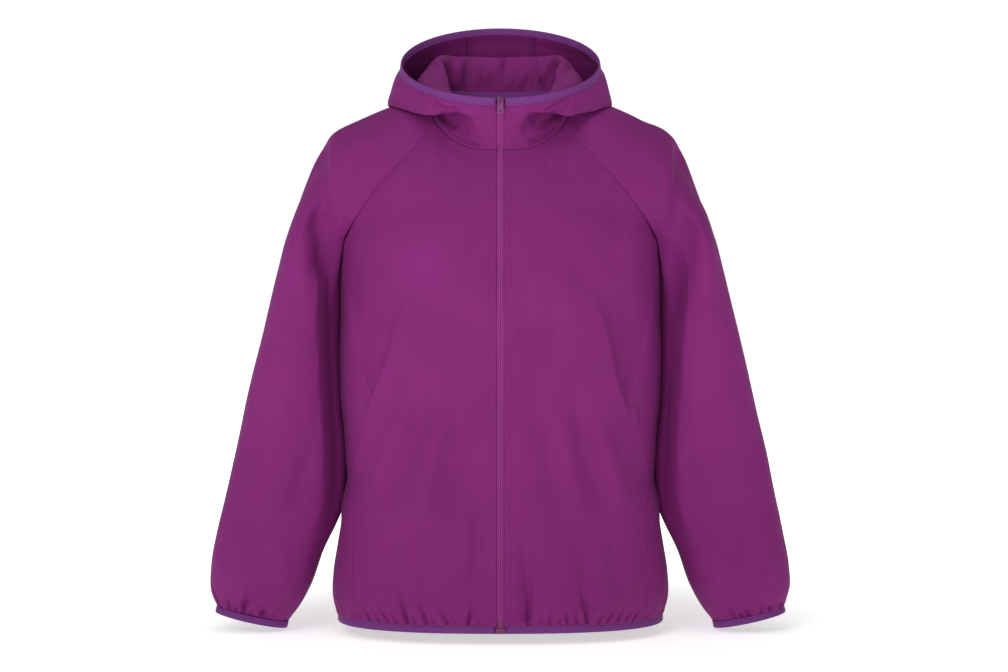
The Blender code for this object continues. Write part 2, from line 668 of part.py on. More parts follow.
def zip_slider(finish, collection):
    """The slider's body with the bridge that the pull tab hangs on. Gives its front face's y."""
    middle = (SLIDER_TOP_Z + SLIDER_BOTTOM_Z) / 2
    y = front_y(middle)
    slider = block("zip_slider", (SLIDER_WIDTH, SLIDER_THICK, SLIDER_TOP_Z - SLIDER_BOTTOM_Z),
                   (0, y, middle), finish, collection, bevel=.0009)
    face = y - SLIDER_THICK / 2
    bm = bmesh.new()
    heights = (BRIDGE_TOP_Z, BRIDGE_TOP_Z - BRIDGE_STRIP,
               BRIDGE_BOTTOM_Z + BRIDGE_STRIP, BRIDGE_BOTTOM_Z)
    root, front = face + BRIDGE_ROOT, face - BRIDGE_REACH
    under = front + BRIDGE_STRIP
    outline = [(root, heights[0]), (front, heights[0]), (front, heights[3]), (root, heights[3]),
               (root, heights[2]), (under, heights[2]), (under, heights[1]), (root, heights[1])]
    flat = [bm.verts.new((-BRIDGE_WIDTH / 2, y_, z_)) for y_, z_ in outline]
    base = bm.faces.new(flat)
    side = bmesh.ops.extrude_face_region(bm, geom=[base])
    moved = [item for item in side["geom"] if isinstance(item, bmesh.types.BMVert)]
    bmesh.ops.translate(bm, vec=(BRIDGE_WIDTH, 0, 0), verts=moved)
    bmesh.ops.recalc_face_normals(bm, faces=bm.faces)
    guides = bpy.data.collections.new("guides")
    bpy.context.scene.collection.children.link(guides)
    bridge = add_mesh("bridge", bm, finish, guides)
    bridge.hide_render = True
    bridge.display_type = "WIRE"
    union = slider.modifiers.new("bridge", "BOOLEAN")
    union.operation = "UNION"
    union.object = bridge
    return face


def rounded_outline(half_top, half_end, top, bottom, radius):
    """Corner-rounded outline of the tab, from its top left corner round."""
    centres = [(-half_top + radius, top - radius), (half_top - radius, top - radius),
               (half_end - radius, bottom + radius), (-half_end + radius, bottom + radius)]
    points = []
    for index, centre in enumerate(centres):
        start = 180 - 90 * index
        for step in (0, 30, 60, 90):
            angle = math.radians(start - step)
            points.append((centre[0] + radius * math.cos(angle),
                           centre[1] + radius * math.sin(angle)))
    return points


def add_outline(curve, points):
    spline = curve.splines.new("POLY")
    spline.points.add(len(points) - 1)
    for place, (x, y) in zip(spline.points, points):
        place.co = (x, y, 0, 1)
    spline.use_cyclic_u = True


def pull_tab(face, finish, collection):
    """A flat tab with a window that the bridge passes through, and a hole near its end."""
    curve = bpy.data.curves.new("pull_tab", "CURVE")
    curve.dimensions = "2D"
    curve.fill_mode = "BOTH"
    curve.extrude = TAB_THICK / 2
    top = TAB_BAR
    bottom = top - TAB_LENGTH
    add_outline(curve, rounded_outline(TAB_WIDTH_TOP / 2, TAB_WIDTH_END / 2, top, bottom,
                                       TAB_CORNER))
    half = TAB_WINDOW / 2
    low = -TAB_BAR - TAB_WINDOW_LENGTH
    add_outline(curve, [(-half, -TAB_BAR), (half, -TAB_BAR), (half, low), (-half, low)])
    centre = bottom + TAB_HOLE_UP
    circle = [(TAB_HOLE_RADIUS * math.cos(a), centre + TAB_HOLE_RADIUS * math.sin(a))
              for a in np.linspace(0, 2 * math.pi, 13)[:-1]]
    add_outline(curve, circle)
    curve.materials.append(finish)
    tab = bpy.data.objects.new("pull_tab", curve)
    collection.objects.link(tab)
    tab.rotation_euler = (math.radians(90), 0, 0)
    tab.location = (0, face - TAB_AXIS_FORWARD, TAB_AXIS_Z)
    return tab


# ---------------------------------------------------------------- the whole jacket

def build():
    clear_scene()
    jacket = bpy.data.collections.new("hooded_zip_jacket")
    bpy.context.scene.collection.children.link(jacket)
    cloth = material("shell_cloth", (.215, .026, .165), .75)
    binding = material("elastic_binding", (.187, .063, .225), .8)
    tape = material("zip_tape", (.232, .030, .175), .7)
    plastic = material("zip_plastic", (.232, .030, .175), .45)
    metal = material("slider_metal", (.42, .30, .42), .35, 0.8)

    for side, name in ((1, "right"), (-1, "left")):
        cloth_panel("front_" + name, mirrored(front_grid(), side), cloth, jacket)
        cloth_panel("sleeve_" + name, mirrored(sleeve_grids(), side), cloth, jacket)
        cloth_panel("hood_side_" + name, mirrored(hood_side_grid(), side), cloth, jacket)
        cuff_binding("cuff_binding_" + name, side, binding, jacket)
        zip_tape("zip_tape_" + name, side, tape, jacket)
    cloth_panel("back", back_grids(), cloth, jacket)
    cloth_panel("hood_centre", hood_centre_grid(), cloth, jacket)
    hood_binding(binding, jacket)
    hem_binding(binding, jacket)
    back_neck_tape(binding, jacket)
    zip_chain(plastic, jacket)
    zip_box_and_pin(plastic, jacket)
    pull_tab(zip_slider(metal, jacket), metal, jacket)


build()
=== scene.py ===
"""The looks of a hooded full-zip jacket, filled out as if worn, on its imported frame."""

import math
import random

import bmesh
import bpy
import numpy as np
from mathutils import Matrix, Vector, noise


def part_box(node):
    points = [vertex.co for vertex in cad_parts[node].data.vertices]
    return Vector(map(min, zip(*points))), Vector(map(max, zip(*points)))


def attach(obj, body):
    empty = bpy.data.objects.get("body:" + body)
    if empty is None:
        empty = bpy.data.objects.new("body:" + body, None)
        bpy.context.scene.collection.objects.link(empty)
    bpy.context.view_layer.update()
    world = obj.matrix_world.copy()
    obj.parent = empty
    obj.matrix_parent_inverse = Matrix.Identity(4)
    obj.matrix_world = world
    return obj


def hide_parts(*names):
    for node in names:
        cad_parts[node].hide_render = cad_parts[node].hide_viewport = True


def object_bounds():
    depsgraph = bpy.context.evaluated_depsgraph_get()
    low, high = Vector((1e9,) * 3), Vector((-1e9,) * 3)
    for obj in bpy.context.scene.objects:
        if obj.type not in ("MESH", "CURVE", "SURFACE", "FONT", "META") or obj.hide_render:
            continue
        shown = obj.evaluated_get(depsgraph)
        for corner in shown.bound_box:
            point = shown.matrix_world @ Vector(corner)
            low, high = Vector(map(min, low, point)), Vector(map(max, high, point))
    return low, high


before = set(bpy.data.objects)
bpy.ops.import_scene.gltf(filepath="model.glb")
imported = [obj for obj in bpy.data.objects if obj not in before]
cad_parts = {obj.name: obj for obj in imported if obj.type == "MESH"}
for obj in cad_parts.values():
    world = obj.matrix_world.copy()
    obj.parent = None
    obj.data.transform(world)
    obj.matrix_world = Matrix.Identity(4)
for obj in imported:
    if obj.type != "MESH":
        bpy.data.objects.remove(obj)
cad_low, cad_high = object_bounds()


# ---------------------------------------------------------------- studio
# A white sweep just under the hem and the cuffs, lit by a white sky and three broad soft
# lamps: one high on the left, a weaker one low in front, and one overhead. The sweep also
# glows with painted light of its own. The glow is fainter near the jacket than far from it,
# and it lights the jacket too.

FLOOR_DROP = 0.004            # from the lowest point of the jacket down to the sweep
FLOOR_SIZE = 30
FLOOR_PAINTED_GLOW = (0.58, 1.12)     # the sweep's own painted glow (emission): near the jacket, and far from it
FLOOR_PAINTED_GLOW_REACH = (0.3, 0.9)
SKY = 0.22
SKY_SEEN = 1.05               # how bright the sky looks to the camera
AIM = (0, 0, -0.3)
LAMPS = [
    dict(name="key", place=(-1.3, -2.5, 1.5), size=1.5, watts=22),
    dict(name="fill", place=(-0.3, -3.0, -0.1), size=2.2, watts=10),
    dict(name="top", place=(-0.1, -0.7, 2.2), size=1.6, watts=16),
]
CAMERA_BACK = 2.4
CAMERA_Z = -0.318
CAMERA_LENS = 63.03
CAMERA_SHIFT = 0.0035
CAMERA_REACH = 60


def feed(tree, node, sockets):
    """Gives each of a node's sockets a value, or the (node, output) that it takes."""
    for socket, value in sockets.items():
        if isinstance(value, tuple) and isinstance(value[0], bpy.types.Node):
            tree.links.new(value[0].outputs[value[1]], node.inputs[socket])
        else:
            node.inputs[socket].default_value = value
    return node


def add_node(tree, kind, sockets):
    return feed(tree, tree.nodes.new(kind), sockets)


def new_finish(name):
    """A material, its node tree, its shader and its node for places."""
    finish = bpy.data.materials.new(name)
    finish.use_nodes = True
    tree = finish.node_tree
    return finish, tree, tree.nodes["Principled BSDF"], add_node(tree, "ShaderNodeTexCoord", {})


def put(name, data):
    thing = bpy.data.objects.new(name, data)
    bpy.context.scene.collection.objects.link(thing)
    return thing


# The sweep's painted glow: emission whose strength rises with the distance from the jacket.
floor_finish, tree, shader, place = new_finish("studio_floor")
reach = add_node(tree, "ShaderNodeVectorMath", {0: (place, "Object")})
reach.operation = "LENGTH"
glow = add_node(tree, "ShaderNodeMapRange", {
    "Value": (reach, "Value"), "From Min": FLOOR_PAINTED_GLOW_REACH[0], "From Max": FLOOR_PAINTED_GLOW_REACH[1],
    "To Min": FLOOR_PAINTED_GLOW[0], "To Max": FLOOR_PAINTED_GLOW[1]})
glow.interpolation_type = "SMOOTHSTEP"
feed(tree, shader, {
    "Base Color": (0.93, 0.93, 0.93, 1), "Roughness": 0.9, "Specular IOR Level": 0.1,
    "Emission Color": (1, 1, 1, 1), "Emission Strength": (glow, 0)})
bpy.ops.mesh.primitive_plane_add(size=FLOOR_SIZE, location=(0, 0, cad_low[2] - FLOOR_DROP))
floor = bpy.context.active_object
floor.name = "studio_floor"
floor.data.materials.append(floor_finish)

sky = bpy.data.worlds.new("studio_sky")
sky.use_nodes = True
tree = sky.node_tree
lit = feed(tree, tree.nodes["Background"], {"Color": (1, 1, 1, 1), "Strength": SKY})
seen = add_node(tree, "ShaderNodeBackground", {"Color": (1, 1, 1, 1), "Strength": SKY_SEEN})
path = add_node(tree, "ShaderNodeLightPath", {})
mix = add_node(tree, "ShaderNodeMixShader", {
    0: (path, "Is Camera Ray"), 1: (lit, 0), 2: (seen, 0)})
feed(tree, tree.nodes["World Output"], {"Surface": (mix, 0)})
bpy.context.scene.world = sky

for lamp in LAMPS:
    light = bpy.data.lights.new(lamp["name"], "AREA")
    light.shape = "DISK"
    light.size = lamp["size"]
    light.energy = lamp["watts"]
    lamp_object = put(lamp["name"], light)
    lamp_object.location = lamp["place"]
    aim = Vector(AIM) - Vector(lamp["place"])
    lamp_object.rotation_euler = aim.to_track_quat("-Z", "Y").to_euler()

camera = put("camera", bpy.data.cameras.new("camera"))
camera.location = (0, -CAMERA_BACK, CAMERA_Z)
camera.rotation_euler = (math.radians(90), 0, 0)
camera.data.lens = CAMERA_LENS
camera.data.shift_x = CAMERA_SHIFT
camera.data.clip_end = CAMERA_REACH
bpy.context.scene.camera = camera
bpy.context.scene.view_settings.view_transform = "Standard"


# ---------------------------------------------------------------- fronts
# Two fronts of light plain-woven cloth, from the neck seam and the raglan seams to the hem.
# Their centre edges are turned in and topstitched beside the zip, and the pockets open in
# the side seams. The rings below are the jacket's form, from the neck seam down to the hem.

SIDES = ((1, "right"), (-1, "left"))
CLOTH = 0.0009                # thickness of the cloth
SHEEN = (0.75, 0.3, 0.7, 1)   # colour of the light that the cloth's fibres catch
SLUB = (900, 3, 0.25)         # thicker places in the threads: scale, detail and stretch
STREAK = (190, 2, 0.05)       # faint lines along the threads, the same three
CLOUD = (9, 4)                # broad unevenness of the dye: scale and detail
WEAVE_SHADE = 0.18            # how much darker it is between the threads
FRONT_EDGE = 0.0048           # half the space between the two front edges
TURNED_IN = 0.0080            # from the front edge to its topstitching


def table_of(keys, rows):
    """A table's rows, each one's values under the same keys."""
    return [dict(zip(keys.split(), row)) for row in rows]


YOKE = table_of("front raglan shoulder raglan_back back full drop bulge bulge_back", [
    ((-.088, -.0740), (.0880, -.050, -.0290), (.0980, .0040), (.0800, .052, .0140), (.077, .0130),
     2.2, 3.0, (.80, .52), (.80, .52)),
    ((-.100, -.0940), (.1040, -.067, -.0580), (.1500, -.0080), (.0980, .083, .0020), (.099, .0005),
     2.3, 2.6, (.66, .60), (.66, .62)),
    ((-.110, -.1140), (.1240, -.079, -.0820), (.1950, -.0255), (.1220, .104, -.0240),
     (.115, -.0200), 2.5, 2.3, (.66, .62), (.66, .62)),
    ((-.119, -.1330), (.1460, -.085, -.1050), (.2255, -.0405), (.1480, .113, -.0550),
     (.126, -.0500), 2.7, 2.1, (.67, .64), (.67, .62)),
    ((-.127, -.1510), (.1670, -.085, -.1300), (.2450, -.0670), (.1720, .112, -.0920),
     (.133, -.0900), 2.9, 2.0, (.68, .72), (.68, .66)),
    ((-.134, -.1700), (.1890, -.075, -.1600), (.2660, -.1170), (.1930, .092, -.1380),
     (.138, -.1370), 3.2, 2.0, (.68, 1.02), (.68, .86)),
])
BODY = table_of("height half_width front back side_seam", [
    (-.1904, .2140, .140, .140, .2075),
    (-.2440, .2132, .143, .142, .2070),
    (-.2950, .2132, .143, .140, .2005),
    (-.3400, .2148, .141, .137, .1930),
    (-.3780, .2140, .140, .135, .1810),
    (-.4050, .2128, .139, .134, .1753),
    (-.4416, .2090, .138, .133, .1827),
    (-.4826, .2062, .137, .133, .1920),
    (-.5111, .2045, .137, .134, .1955),
    (-.5410, .2118, .139, .137, .1960),
    (-.5680, .2150, .141, .140, .1953),
    (-.5960, .2195, .143, .143, .1944),
    (-.6360, .2255, .144, .144, .1930),
    (-.6680, .2260, .142, .142, .1905),
    (-.6905, .2200, .137, .137, .1868),
])
SQUARENESS = 2.5
ARMPIT_ROW = len(YOKE)
YOKE_STEPS = 5                # fine rows between two rings of the yoke, and of the body
BODY_STEPS = (13, 12, 11, 9, 6, 9, 10, 7, 7, 6, 7, 13, 17, 13)
FRONT_COLUMNS = 226
POCKET = (-.4080, -.4960)     # top and bottom of the pocket opening, up the side seam
POCKET_FULL = (.0020, .016)   # how far the front stands out beside it, and how widely
SEAM_TUCK = 0.0008            # how deep a seam pulls the cloth in, and over what width
SEAM_WIDTH = 0.0018
TOPSTITCHED = (.0005, .0012)  # the same beside a topstitched edge or seam
CREASE_STEPS = 6              # fine rows between two places of a crease
SEED_STEP = 7.3               # how far apart the noise of two seeds is read
SAME_PLACE = 2e-5             # points of two grids nearer than this are one


def smooth_step(values):
    share = np.clip(values, 0, 1)
    return share * share * (3 - 2 * share)


def row_places(*counts):
    """Row places of a fine grid: how many fine rows each stretch between coarse rows has."""
    places = [np.linspace(row, row + 1, count, endpoint=False) for row, count in enumerate(counts)]
    return np.concatenate([*places, [len(counts)]])


def inner_slopes(slopes, steps):
    """The slope of a smooth curve at each place between two of its steps."""
    return (slopes[:-1] * steps[1:] + slopes[1:] * steps[:-1]) / (steps[:-1] + steps[1:])


def smooth_curve(share, step, start, end, leaving, arriving):
    """A curve at shares of a step, between two values and the slopes it has there."""
    return ((1 + 2 * share) * (1 - share) ** 2 * start + share ** 2 * (3 - 2 * share) * end
            + share * (1 - share) ** 2 * step * leaving
            + share ** 2 * (share - 1) * step * arriving)


def through_rows(grid, places, kink=None, smooth=None):
    """Smooth curves down the columns of a coarse grid, read at the given row places. At the
    kink row a column turns freely where smooth is 0, and is continuous where it is 1."""
    grid = np.asarray(grid, float)
    steps = np.maximum(np.linalg.norm(np.diff(grid, axis=0), axis=2), 1e-6)[:, :, None]
    slopes = np.diff(grid, axis=0) / steps
    leaving = np.concatenate([slopes[:1], inner_slopes(slopes, steps), slopes[-1:]])
    arriving = leaving.copy()
    if kink is not None:
        keep = np.asarray(smooth)[:, None]
        arriving[kink] = slopes[kink - 1] + (arriving[kink] - slopes[kink - 1]) * keep
        leaving[kink] = slopes[kink] + (leaving[kink] - slopes[kink]) * keep
    rows = np.minimum(places.astype(int), len(grid) - 2)
    return smooth_curve((places - rows)[:, None, None], steps[rows], grid[rows], grid[rows + 1],
                        leaving[rows], arriving[rows + 1])


def across_yoke(shares, edge, centre, full, drop):
    """A front or back panel's part of one yoke ring, at shares of the raglan seam's x."""
    share = np.abs(shares)
    y = edge[1] + (centre[0] - edge[1]) * (1 - share ** full)
    z = edge[2] + (centre[1] - edge[2]) * (1 - share ** drop)
    return np.column_stack([shares * edge[0], y, z])


def body_points(row, turns):
    """Points on a body ring, by turns in radians from the front centre to the back."""
    power = 2 / SQUARENESS
    sine, cosine = np.sin(turns), np.cos(turns)
    depth = np.where(cosine < 0, row["back"], row["front"])
    x = row["half_width"] * np.abs(sine) ** power * np.sign(sine)
    y = -depth * np.abs(cosine) ** power * np.sign(cosine)
    return np.column_stack([x, y, np.full(len(x), row["height"])])


def body_turns(row, xs):
    return np.arcsin(np.clip(xs / row["half_width"], -1, 1) ** (SQUARENESS / 2))


def unit(vectors):
    return vectors / np.maximum(np.linalg.norm(vectors, axis=-1, keepdims=True), 1e-9)


def outward(grid, sign=1):
    """Unit normals of a grid of points."""
    return unit(np.cross(np.gradient(grid, axis=1), np.gradient(grid, axis=0)) * sign)


def spans(grid):
    """Each point's distance along its row from the first column, and down from the top row."""
    across = np.linalg.norm(np.diff(grid, axis=1), axis=2)
    along = np.linalg.norm(np.diff(grid, axis=0), axis=2)
    across = np.concatenate([np.zeros((len(grid), 1)), np.cumsum(across, axis=1)], axis=1)
    along = np.concatenate([np.zeros((1, grid.shape[1])), np.cumsum(along, axis=0)])
    return across, along


def from_sides(across):
    """Each point's distance along its row from the nearer end of the row."""
    return np.minimum(across, across[:, -1:] - across)


def seam_tuck(distance, depth=SEAM_TUCK, width=SEAM_WIDTH):
    return -depth * np.exp(-(distance / width) ** 2)


def rumple(grid, size, height, seed):
    """Soft unevenness of the cloth. size is that of the swellings along x, y and z."""
    flat = (grid / np.asarray(size)).reshape(-1, 3) + seed * SEED_STEP
    values = [noise.noise(Vector(point)) for point in flat]
    return np.array(values).reshape(grid.shape[:2]) * height


def crease(places, path, width, rise, ends=(0.3, 0.3), sink=0, fall=0, reach=0):
    """Offsets of a crease laid along a smooth path of (x, z) places. On it the cloth
    rises by "rise", less towards its ends, over those shares of it. Beside it, on the +X side,
    the cloth falls off by "sink" and comes back over "reach", its steep part "fall" wide. A
    sink below 0 lies on the -X side."""
    path = np.array([(x, z, 0) for x, z in path])[:, None]
    path = through_rows(path, row_places(*[CREASE_STEPS] * (len(path) - 1)))[:, 0, :2]
    nearest = np.full(places.shape[:-1], 1e9)
    beside, along = np.zeros(nearest.shape), np.zeros(nearest.shape)
    for index, (start, end) in enumerate(zip(path, path[1:])):
        run = end - start
        share = np.clip(((places - start) @ run) / (run @ run), 0, 1)
        away = places - start - share[..., None] * run
        distance = np.linalg.norm(away, axis=-1)
        closer = distance < nearest
        nearest = np.where(closer, distance, nearest)
        side = (run[1] * away[..., 0] - run[0] * away[..., 1]) / np.linalg.norm(run)
        beside = np.where(closer, side, beside)
        along = np.where(closer, (index + share) / (len(path) - 1), along)
    offset = rise * np.exp(-(nearest / width) ** 2)
    if sink:
        into = np.maximum(-beside * np.sign(sink), 0)
        offset -= abs(sink) * (1 - np.exp(-into / fall)) * np.exp(-(nearest / reach) ** 2)
    return offset * smooth_step(along / ends[0]) * smooth_step((1 - along) / ends[1])


def creases(places, table):
    return sum(crease(places, *row) for row in table)


def gathers(around, above, table, pinched=(0.45, 0.005)):
    """Offsets of the folds that an elastic edge draws up. A fold is (place round the edge,
    height, width, depth, lean). around is each column's place, above each point's height.
    pinched is the share of a fold's depth that is left at the edge, and how far above it the
    fold is as deep as it gets."""
    total = np.zeros(above.shape)
    for place, height, width, depth, lean in table:
        fade = smooth_step(1 - above / height)
        fade *= pinched[0] + (1 - pinched[0]) * smooth_step(above / pinched[1])
        spread = width * (1 + 0.8 * above / height)
        away = ((around - place - lean * above) / spread) ** 2
        total -= depth * fade * (np.exp(-away) - 0.3 * np.exp(-away / 5))
    return total


def scattered_folds(start, end, step, height, depth, seed):
    """Uneven gathers between two places round an edge, about a step apart."""
    chance = random.Random(seed)
    folds = []
    place = start
    while place < end:
        tall = height * chance.choice((0.35, 0.5, 0.7, 1.0, 1.5))
        folds.append((place, tall, step * chance.uniform(.18, .3), depth * chance.uniform(0.6, 1.3),
                      chance.uniform(-0.25, 0.25)))
        place += step * chance.uniform(0.6, 1.5)
    return folds


def noise_node(tree, vector, scale, detail, stretch=1):
    """Noise, its pattern drawn out along Y where stretch is below 1."""
    if stretch != 1:
        turned = add_node(tree, "ShaderNodeMapping", {"Vector": vector, "Scale": (1, stretch, 1)})
        vector = (turned, 0)
    values = {"Vector": vector, "Scale": scale, "Detail": detail}
    return add_node(tree, "ShaderNodeTexNoise", values), "Fac"


def math_node(tree, operation, one, two):
    node = add_node(tree, "ShaderNodeMath", {0: one, 1: two})
    node.operation = operation
    return node, 0


def ramp_node(tree, factor, low, high, places=(0, 1)):
    """A ramp from one colour to another, between two places on it."""
    ramp = add_node(tree, "ShaderNodeValToRGB", {0: factor})
    for element, place, colour in zip(ramp.color_ramp.elements, places, (low, high)):
        element.position = place
        element.color = (*colour, 1)
    return ramp, 0


def weave_material(name, colour, roughness, thread, sheen, bump, variation=0.06):
    """Plain-woven cloth. The weave follows the panel's own UV map, which is in metres."""
    finish, tree, shader, place = new_finish(name)
    uv = (place, "UV")
    threads = []
    for axis in ("X", "Y"):
        wave = add_node(tree, "ShaderNodeTexWave", {
            "Vector": uv, "Scale": math.pi / (10 * thread), "Distortion": 1.2, "Detail": 1.0,
            "Detail Scale": 0.4})
        wave.bands_direction = axis
        threads.append((wave, "Fac"))
    woven = math_node(tree, "MULTIPLY", *threads)
    relief = math_node(tree, "ADD", woven, noise_node(tree, uv, *SLUB))
    bumped = add_node(tree, "ShaderNodeBump", {
        "Strength": bump, "Distance": 0.0002, "Height": relief})
    cloud = noise_node(tree, (place, "Object"), *CLOUD)
    shade = ramp_node(tree, cloud, [c * (1 - variation) for c in colour],
                      [c * (1 + variation) for c in colour], (0.3, 0.7))
    streak = noise_node(tree, uv, *STREAK)
    streak = ramp_node(tree, streak, (0.965, 0.965, 0.965), (1, 1, 1), (0.35, 0.65))
    for factor, pattern in ((1.0, streak), (WEAVE_SHADE, woven)):
        blend = tree.nodes.new("ShaderNodeMix")
        blend.data_type = "RGBA"
        blend.blend_type = "MULTIPLY"
        shade = (feed(tree, blend, {"Factor": factor, 6: shade, 7: pattern}), 2)
    feed(tree, shader, {
        "Base Color": shade, "Roughness": roughness, "Normal": (bumped, 0),
        "Specular IOR Level": 0.14, "Sheen Weight": sheen, "Sheen Roughness": 0.45,
        "Sheen Tint": SHEEN})
    return finish


def mesh_from(name, bm):
    mesh = bpy.data.meshes.new(name)
    bm.to_mesh(mesh)
    bm.free()
    return mesh


def thin_wall(name, bm, finish, thick):
    """A piece of cloth or tape from its middle surface."""
    mesh = mesh_from(name, bm)
    mesh.materials.append(finish)
    mesh.shade_smooth()
    piece = put(name, mesh)
    wall = piece.modifiers.new("wall", "SOLIDIFY")
    wall.thickness = thick
    wall.offset = 0
    return piece


def cloth_object(name, grids, finish, thick=CLOTH):
    """A panel of cloth: its grids joined where they meet, with a UV map in metres."""
    bm = bmesh.new()
    layer = bm.loops.layers.uv.new("weave")
    for grid in grids:
        across, along = spans(grid)
        along = along[:, along.shape[1] // 2]
        count, width = grid.shape[:2]
        verts = [bm.verts.new(point) for point in grid.reshape(-1, 3)]
        for row in range(count - 1):
            for column in range(width - 1):
                corners = [(row, column), (row, column + 1), (row + 1, column + 1),
                           (row + 1, column)]
                face = bm.faces.new([verts[r * width + c] for r, c in corners])
                for loop, (r, c) in zip(face.loops, corners):
                    loop[layer].uv = (across[r, c], along[r])
    bmesh.ops.remove_doubles(bm, verts=bm.verts, dist=SAME_PLACE)
    bmesh.ops.recalc_face_normals(bm, faces=bm.faces)
    return thin_wall(name, bm, finish, thick)


def dress(piece, node, body="garment"):
    """What the frame is told of a piece: the body that it moves with. The frame's own part for it
    is hidden.
    """
    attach(piece, body)
    if node:
        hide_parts(node)


cloth_finish = weave_material("shell_cloth", (0.246, 0.0205, 0.186), 0.72, 0.0006, 0.08, 0.35)

# A crease's row is its path, its width and its rise, and then, where they differ from the
# usual, the shares of it over which its two ends fade, and its sink, fall and reach.
FRONT_CREASES = {
    "left": [
        ([(-.112, -.252), (-.121, -.276), (-.135, -.309), (-.145, -.346), (-.158, -.378),
         (-.170, -.405), (-.176, -.436)], .0060, .0014, (.5, .15), -.0150, .022, .052),
        ([(-.120, -.232), (-.060, -.238), (-.004, -.242)], .040, .0050, (.4, .01)),
        ([(-.100, -.296), (-.060, -.304), (-.004, -.302)], .034, -.0056, (.4, .01)),
        ([(-.121, -.105), (-.121, -.140), (-.119, -.178)], .013, -.0020),
        ([(-.174, -.150), (-.171, -.172), (-.174, -.196)], .008, -.0018),
        ([(-.187, -.205), (-.190, -.245), (-.193, -.295)], .008, -.0018),
        ([(-.152, -.290), (-.160, -.322), (-.166, -.350)], .010, .0020),
        ([(-.096, -.150), (-.100, -.195), (-.108, -.235)], .026, .0032),
        ([(-.152, -.225), (-.154, -.265), (-.160, -.300)], .018, .0022),
        ([(-.088, -.395), (-.118, -.460), (-.152, -.540)], .017, -.0050),
        ([(-.112, -.395), (-.142, -.460), (-.168, -.530)], .014, .0034),
        ([(-.052, -.410), (-.064, -.480), (-.080, -.560)], .015, -.0046),
        ([(-.070, -.400), (-.086, -.470), (-.112, -.560)], .014, .0026),
        ([(-.023, -.520), (-.029, -.580), (-.038, -.650)], .011, -.0040),
        ([(-.088, -.550), (-.096, -.610), (-.100, -.668)], .013, -.0036),
        ([(-.134, -.560), (-.140, -.610), (-.138, -.660)], .014, -.0030),
        ([(-.087, -.084), (-.086, -.098), (-.087, -.116)], .005, -.0016),
        ([(-.072, -.078), (-.073, -.092), (-.070, -.108)], .005, -.0012),
    ],
    "right": [
        ([(.112, -.246), (.120, -.272), (.131, -.298), (.143, -.346), (.150, -.374), (.157, -.396),
         (.167, -.424)], .0060, .0014, (.5, .15), .0150, .022, .056),
        ([(.116, -.236), (.060, -.242), (.004, -.242)], .040, .0050, (.4, .01)),
        ([(.098, -.300), (.060, -.306), (.004, -.302)], .034, -.0056, (.4, .01)),
        ([(.156, -.120), (.154, -.180), (.136, -.240)], .017, -.0044),
        ([(.100, -.150), (.104, -.190), (.100, -.232)], .024, .0030),
        ([(.184, -.190), (.188, -.230), (.192, -.280)], .009, -.0018),
        ([(.092, -.380), (.114, -.470), (.136, -.560)], .017, -.0050),
        ([(.120, -.420), (.146, -.490), (.162, -.550)], .013, .0034),
        ([(.052, -.400), (.062, -.480), (.074, -.560)], .017, -.0038),
        ([(.074, -.400), (.088, -.480), (.104, -.570)], .013, .0024),
        ([(.031, -.555), (.033, -.630), (.033, -.686)], .0095, -.0044, (.5, .05)),
        ([(.100, -.570), (.110, -.620), (.112, -.672)], .012, -.0038, (.5, .1)),
        ([(.148, -.560), (.150, -.610), (.146, -.660)], .014, -.0030),
        ([(.064, -.080), (.063, -.095), (.065, -.112)], .005, -.0014),
        ([(.088, -.084), (.090, -.100), (.088, -.118)], .006, -.0016),
    ],
}
# A fold's row is its place round the hem, its height, width, depth and lean.
HEM_FOLDS = {
    "left": [(.012, .015, .0017, .0029, .2), (.022, .026, .0019, .0040, .1),
             (.037, .048, .0023, .0075, -.2), (.052, .020, .0017, .0035, .3),
             (.063, .037, .0024, .0061, .3), (.078, .022, .0018, .0040, .3),
             (.089, .055, .0027, .0078, .25), (.103, .022, .0018, .0040, .4),
             (.115, .063, .0030, .0086, .2), (.129, .024, .0020, .0050, .5),
             (.142, .031, .0022, .0061, .5), (.156, .024, .0019, .0046, .5),
             (.170, .029, .0022, .0054, .5), (.184, .044, .0023, .0064, .4),
             (.197, .024, .0019, .0040, .3)],
    "right": [(.014, .017, .0017, .0029, 0), (.031, .085, .0030, .0083, 0),
              (.047, .024, .0019, .0040, .1), (.058, .033, .0020, .0046, .1),
              (.071, .026, .0019, .0043, .1), (.082, .037, .0020, .0054, -.2),
              (.095, .029, .0019, .0050, -.2), (.108, .068, .0029, .0086, -.2),
              (.121, .026, .0019, .0054, .5), (.133, .031, .0020, .0058, .5),
              (.147, .031, .0020, .0054, .5), (.160, .026, .0020, .0046, .5),
              (.173, .029, .0020, .0050, .5), (.187, .046, .0024, .0064, .4),
              (.199, .024, .0019, .0035, .3)],
}

front_shares = np.sin(np.linspace(0, math.pi / 2, FRONT_COLUMNS + 1))
front_rings = []
for ring in YOKE:
    start = FRONT_EDGE / ring["raglan"][0]
    front_rings.append(across_yoke(start + (1 - start) * front_shares, ring["raglan"],
                                   ring["front"], ring["full"], ring["drop"]))
for ring in BODY:
    xs = FRONT_EDGE + (ring["side_seam"] - FRONT_EDGE) * front_shares
    front_rings.append(body_points(ring, body_turns(ring, xs)))
body_places = row_places(*[YOKE_STEPS] * len(YOKE), *BODY_STEPS)
from_raglan = front_rings[ARMPIT_ROW][-1, 0] - front_rings[ARMPIT_ROW][:, 0]
front_base = through_rows(front_rings, body_places, ARMPIT_ROW, smooth_step(from_raglan / 0.05))

LOWER_DEPTH = 0.45            # the creases over the hem lie this much deeper than stated
COLLAR_BEND = dict(run=.012, radius=.030, fade=.030)     # where the collar turns up


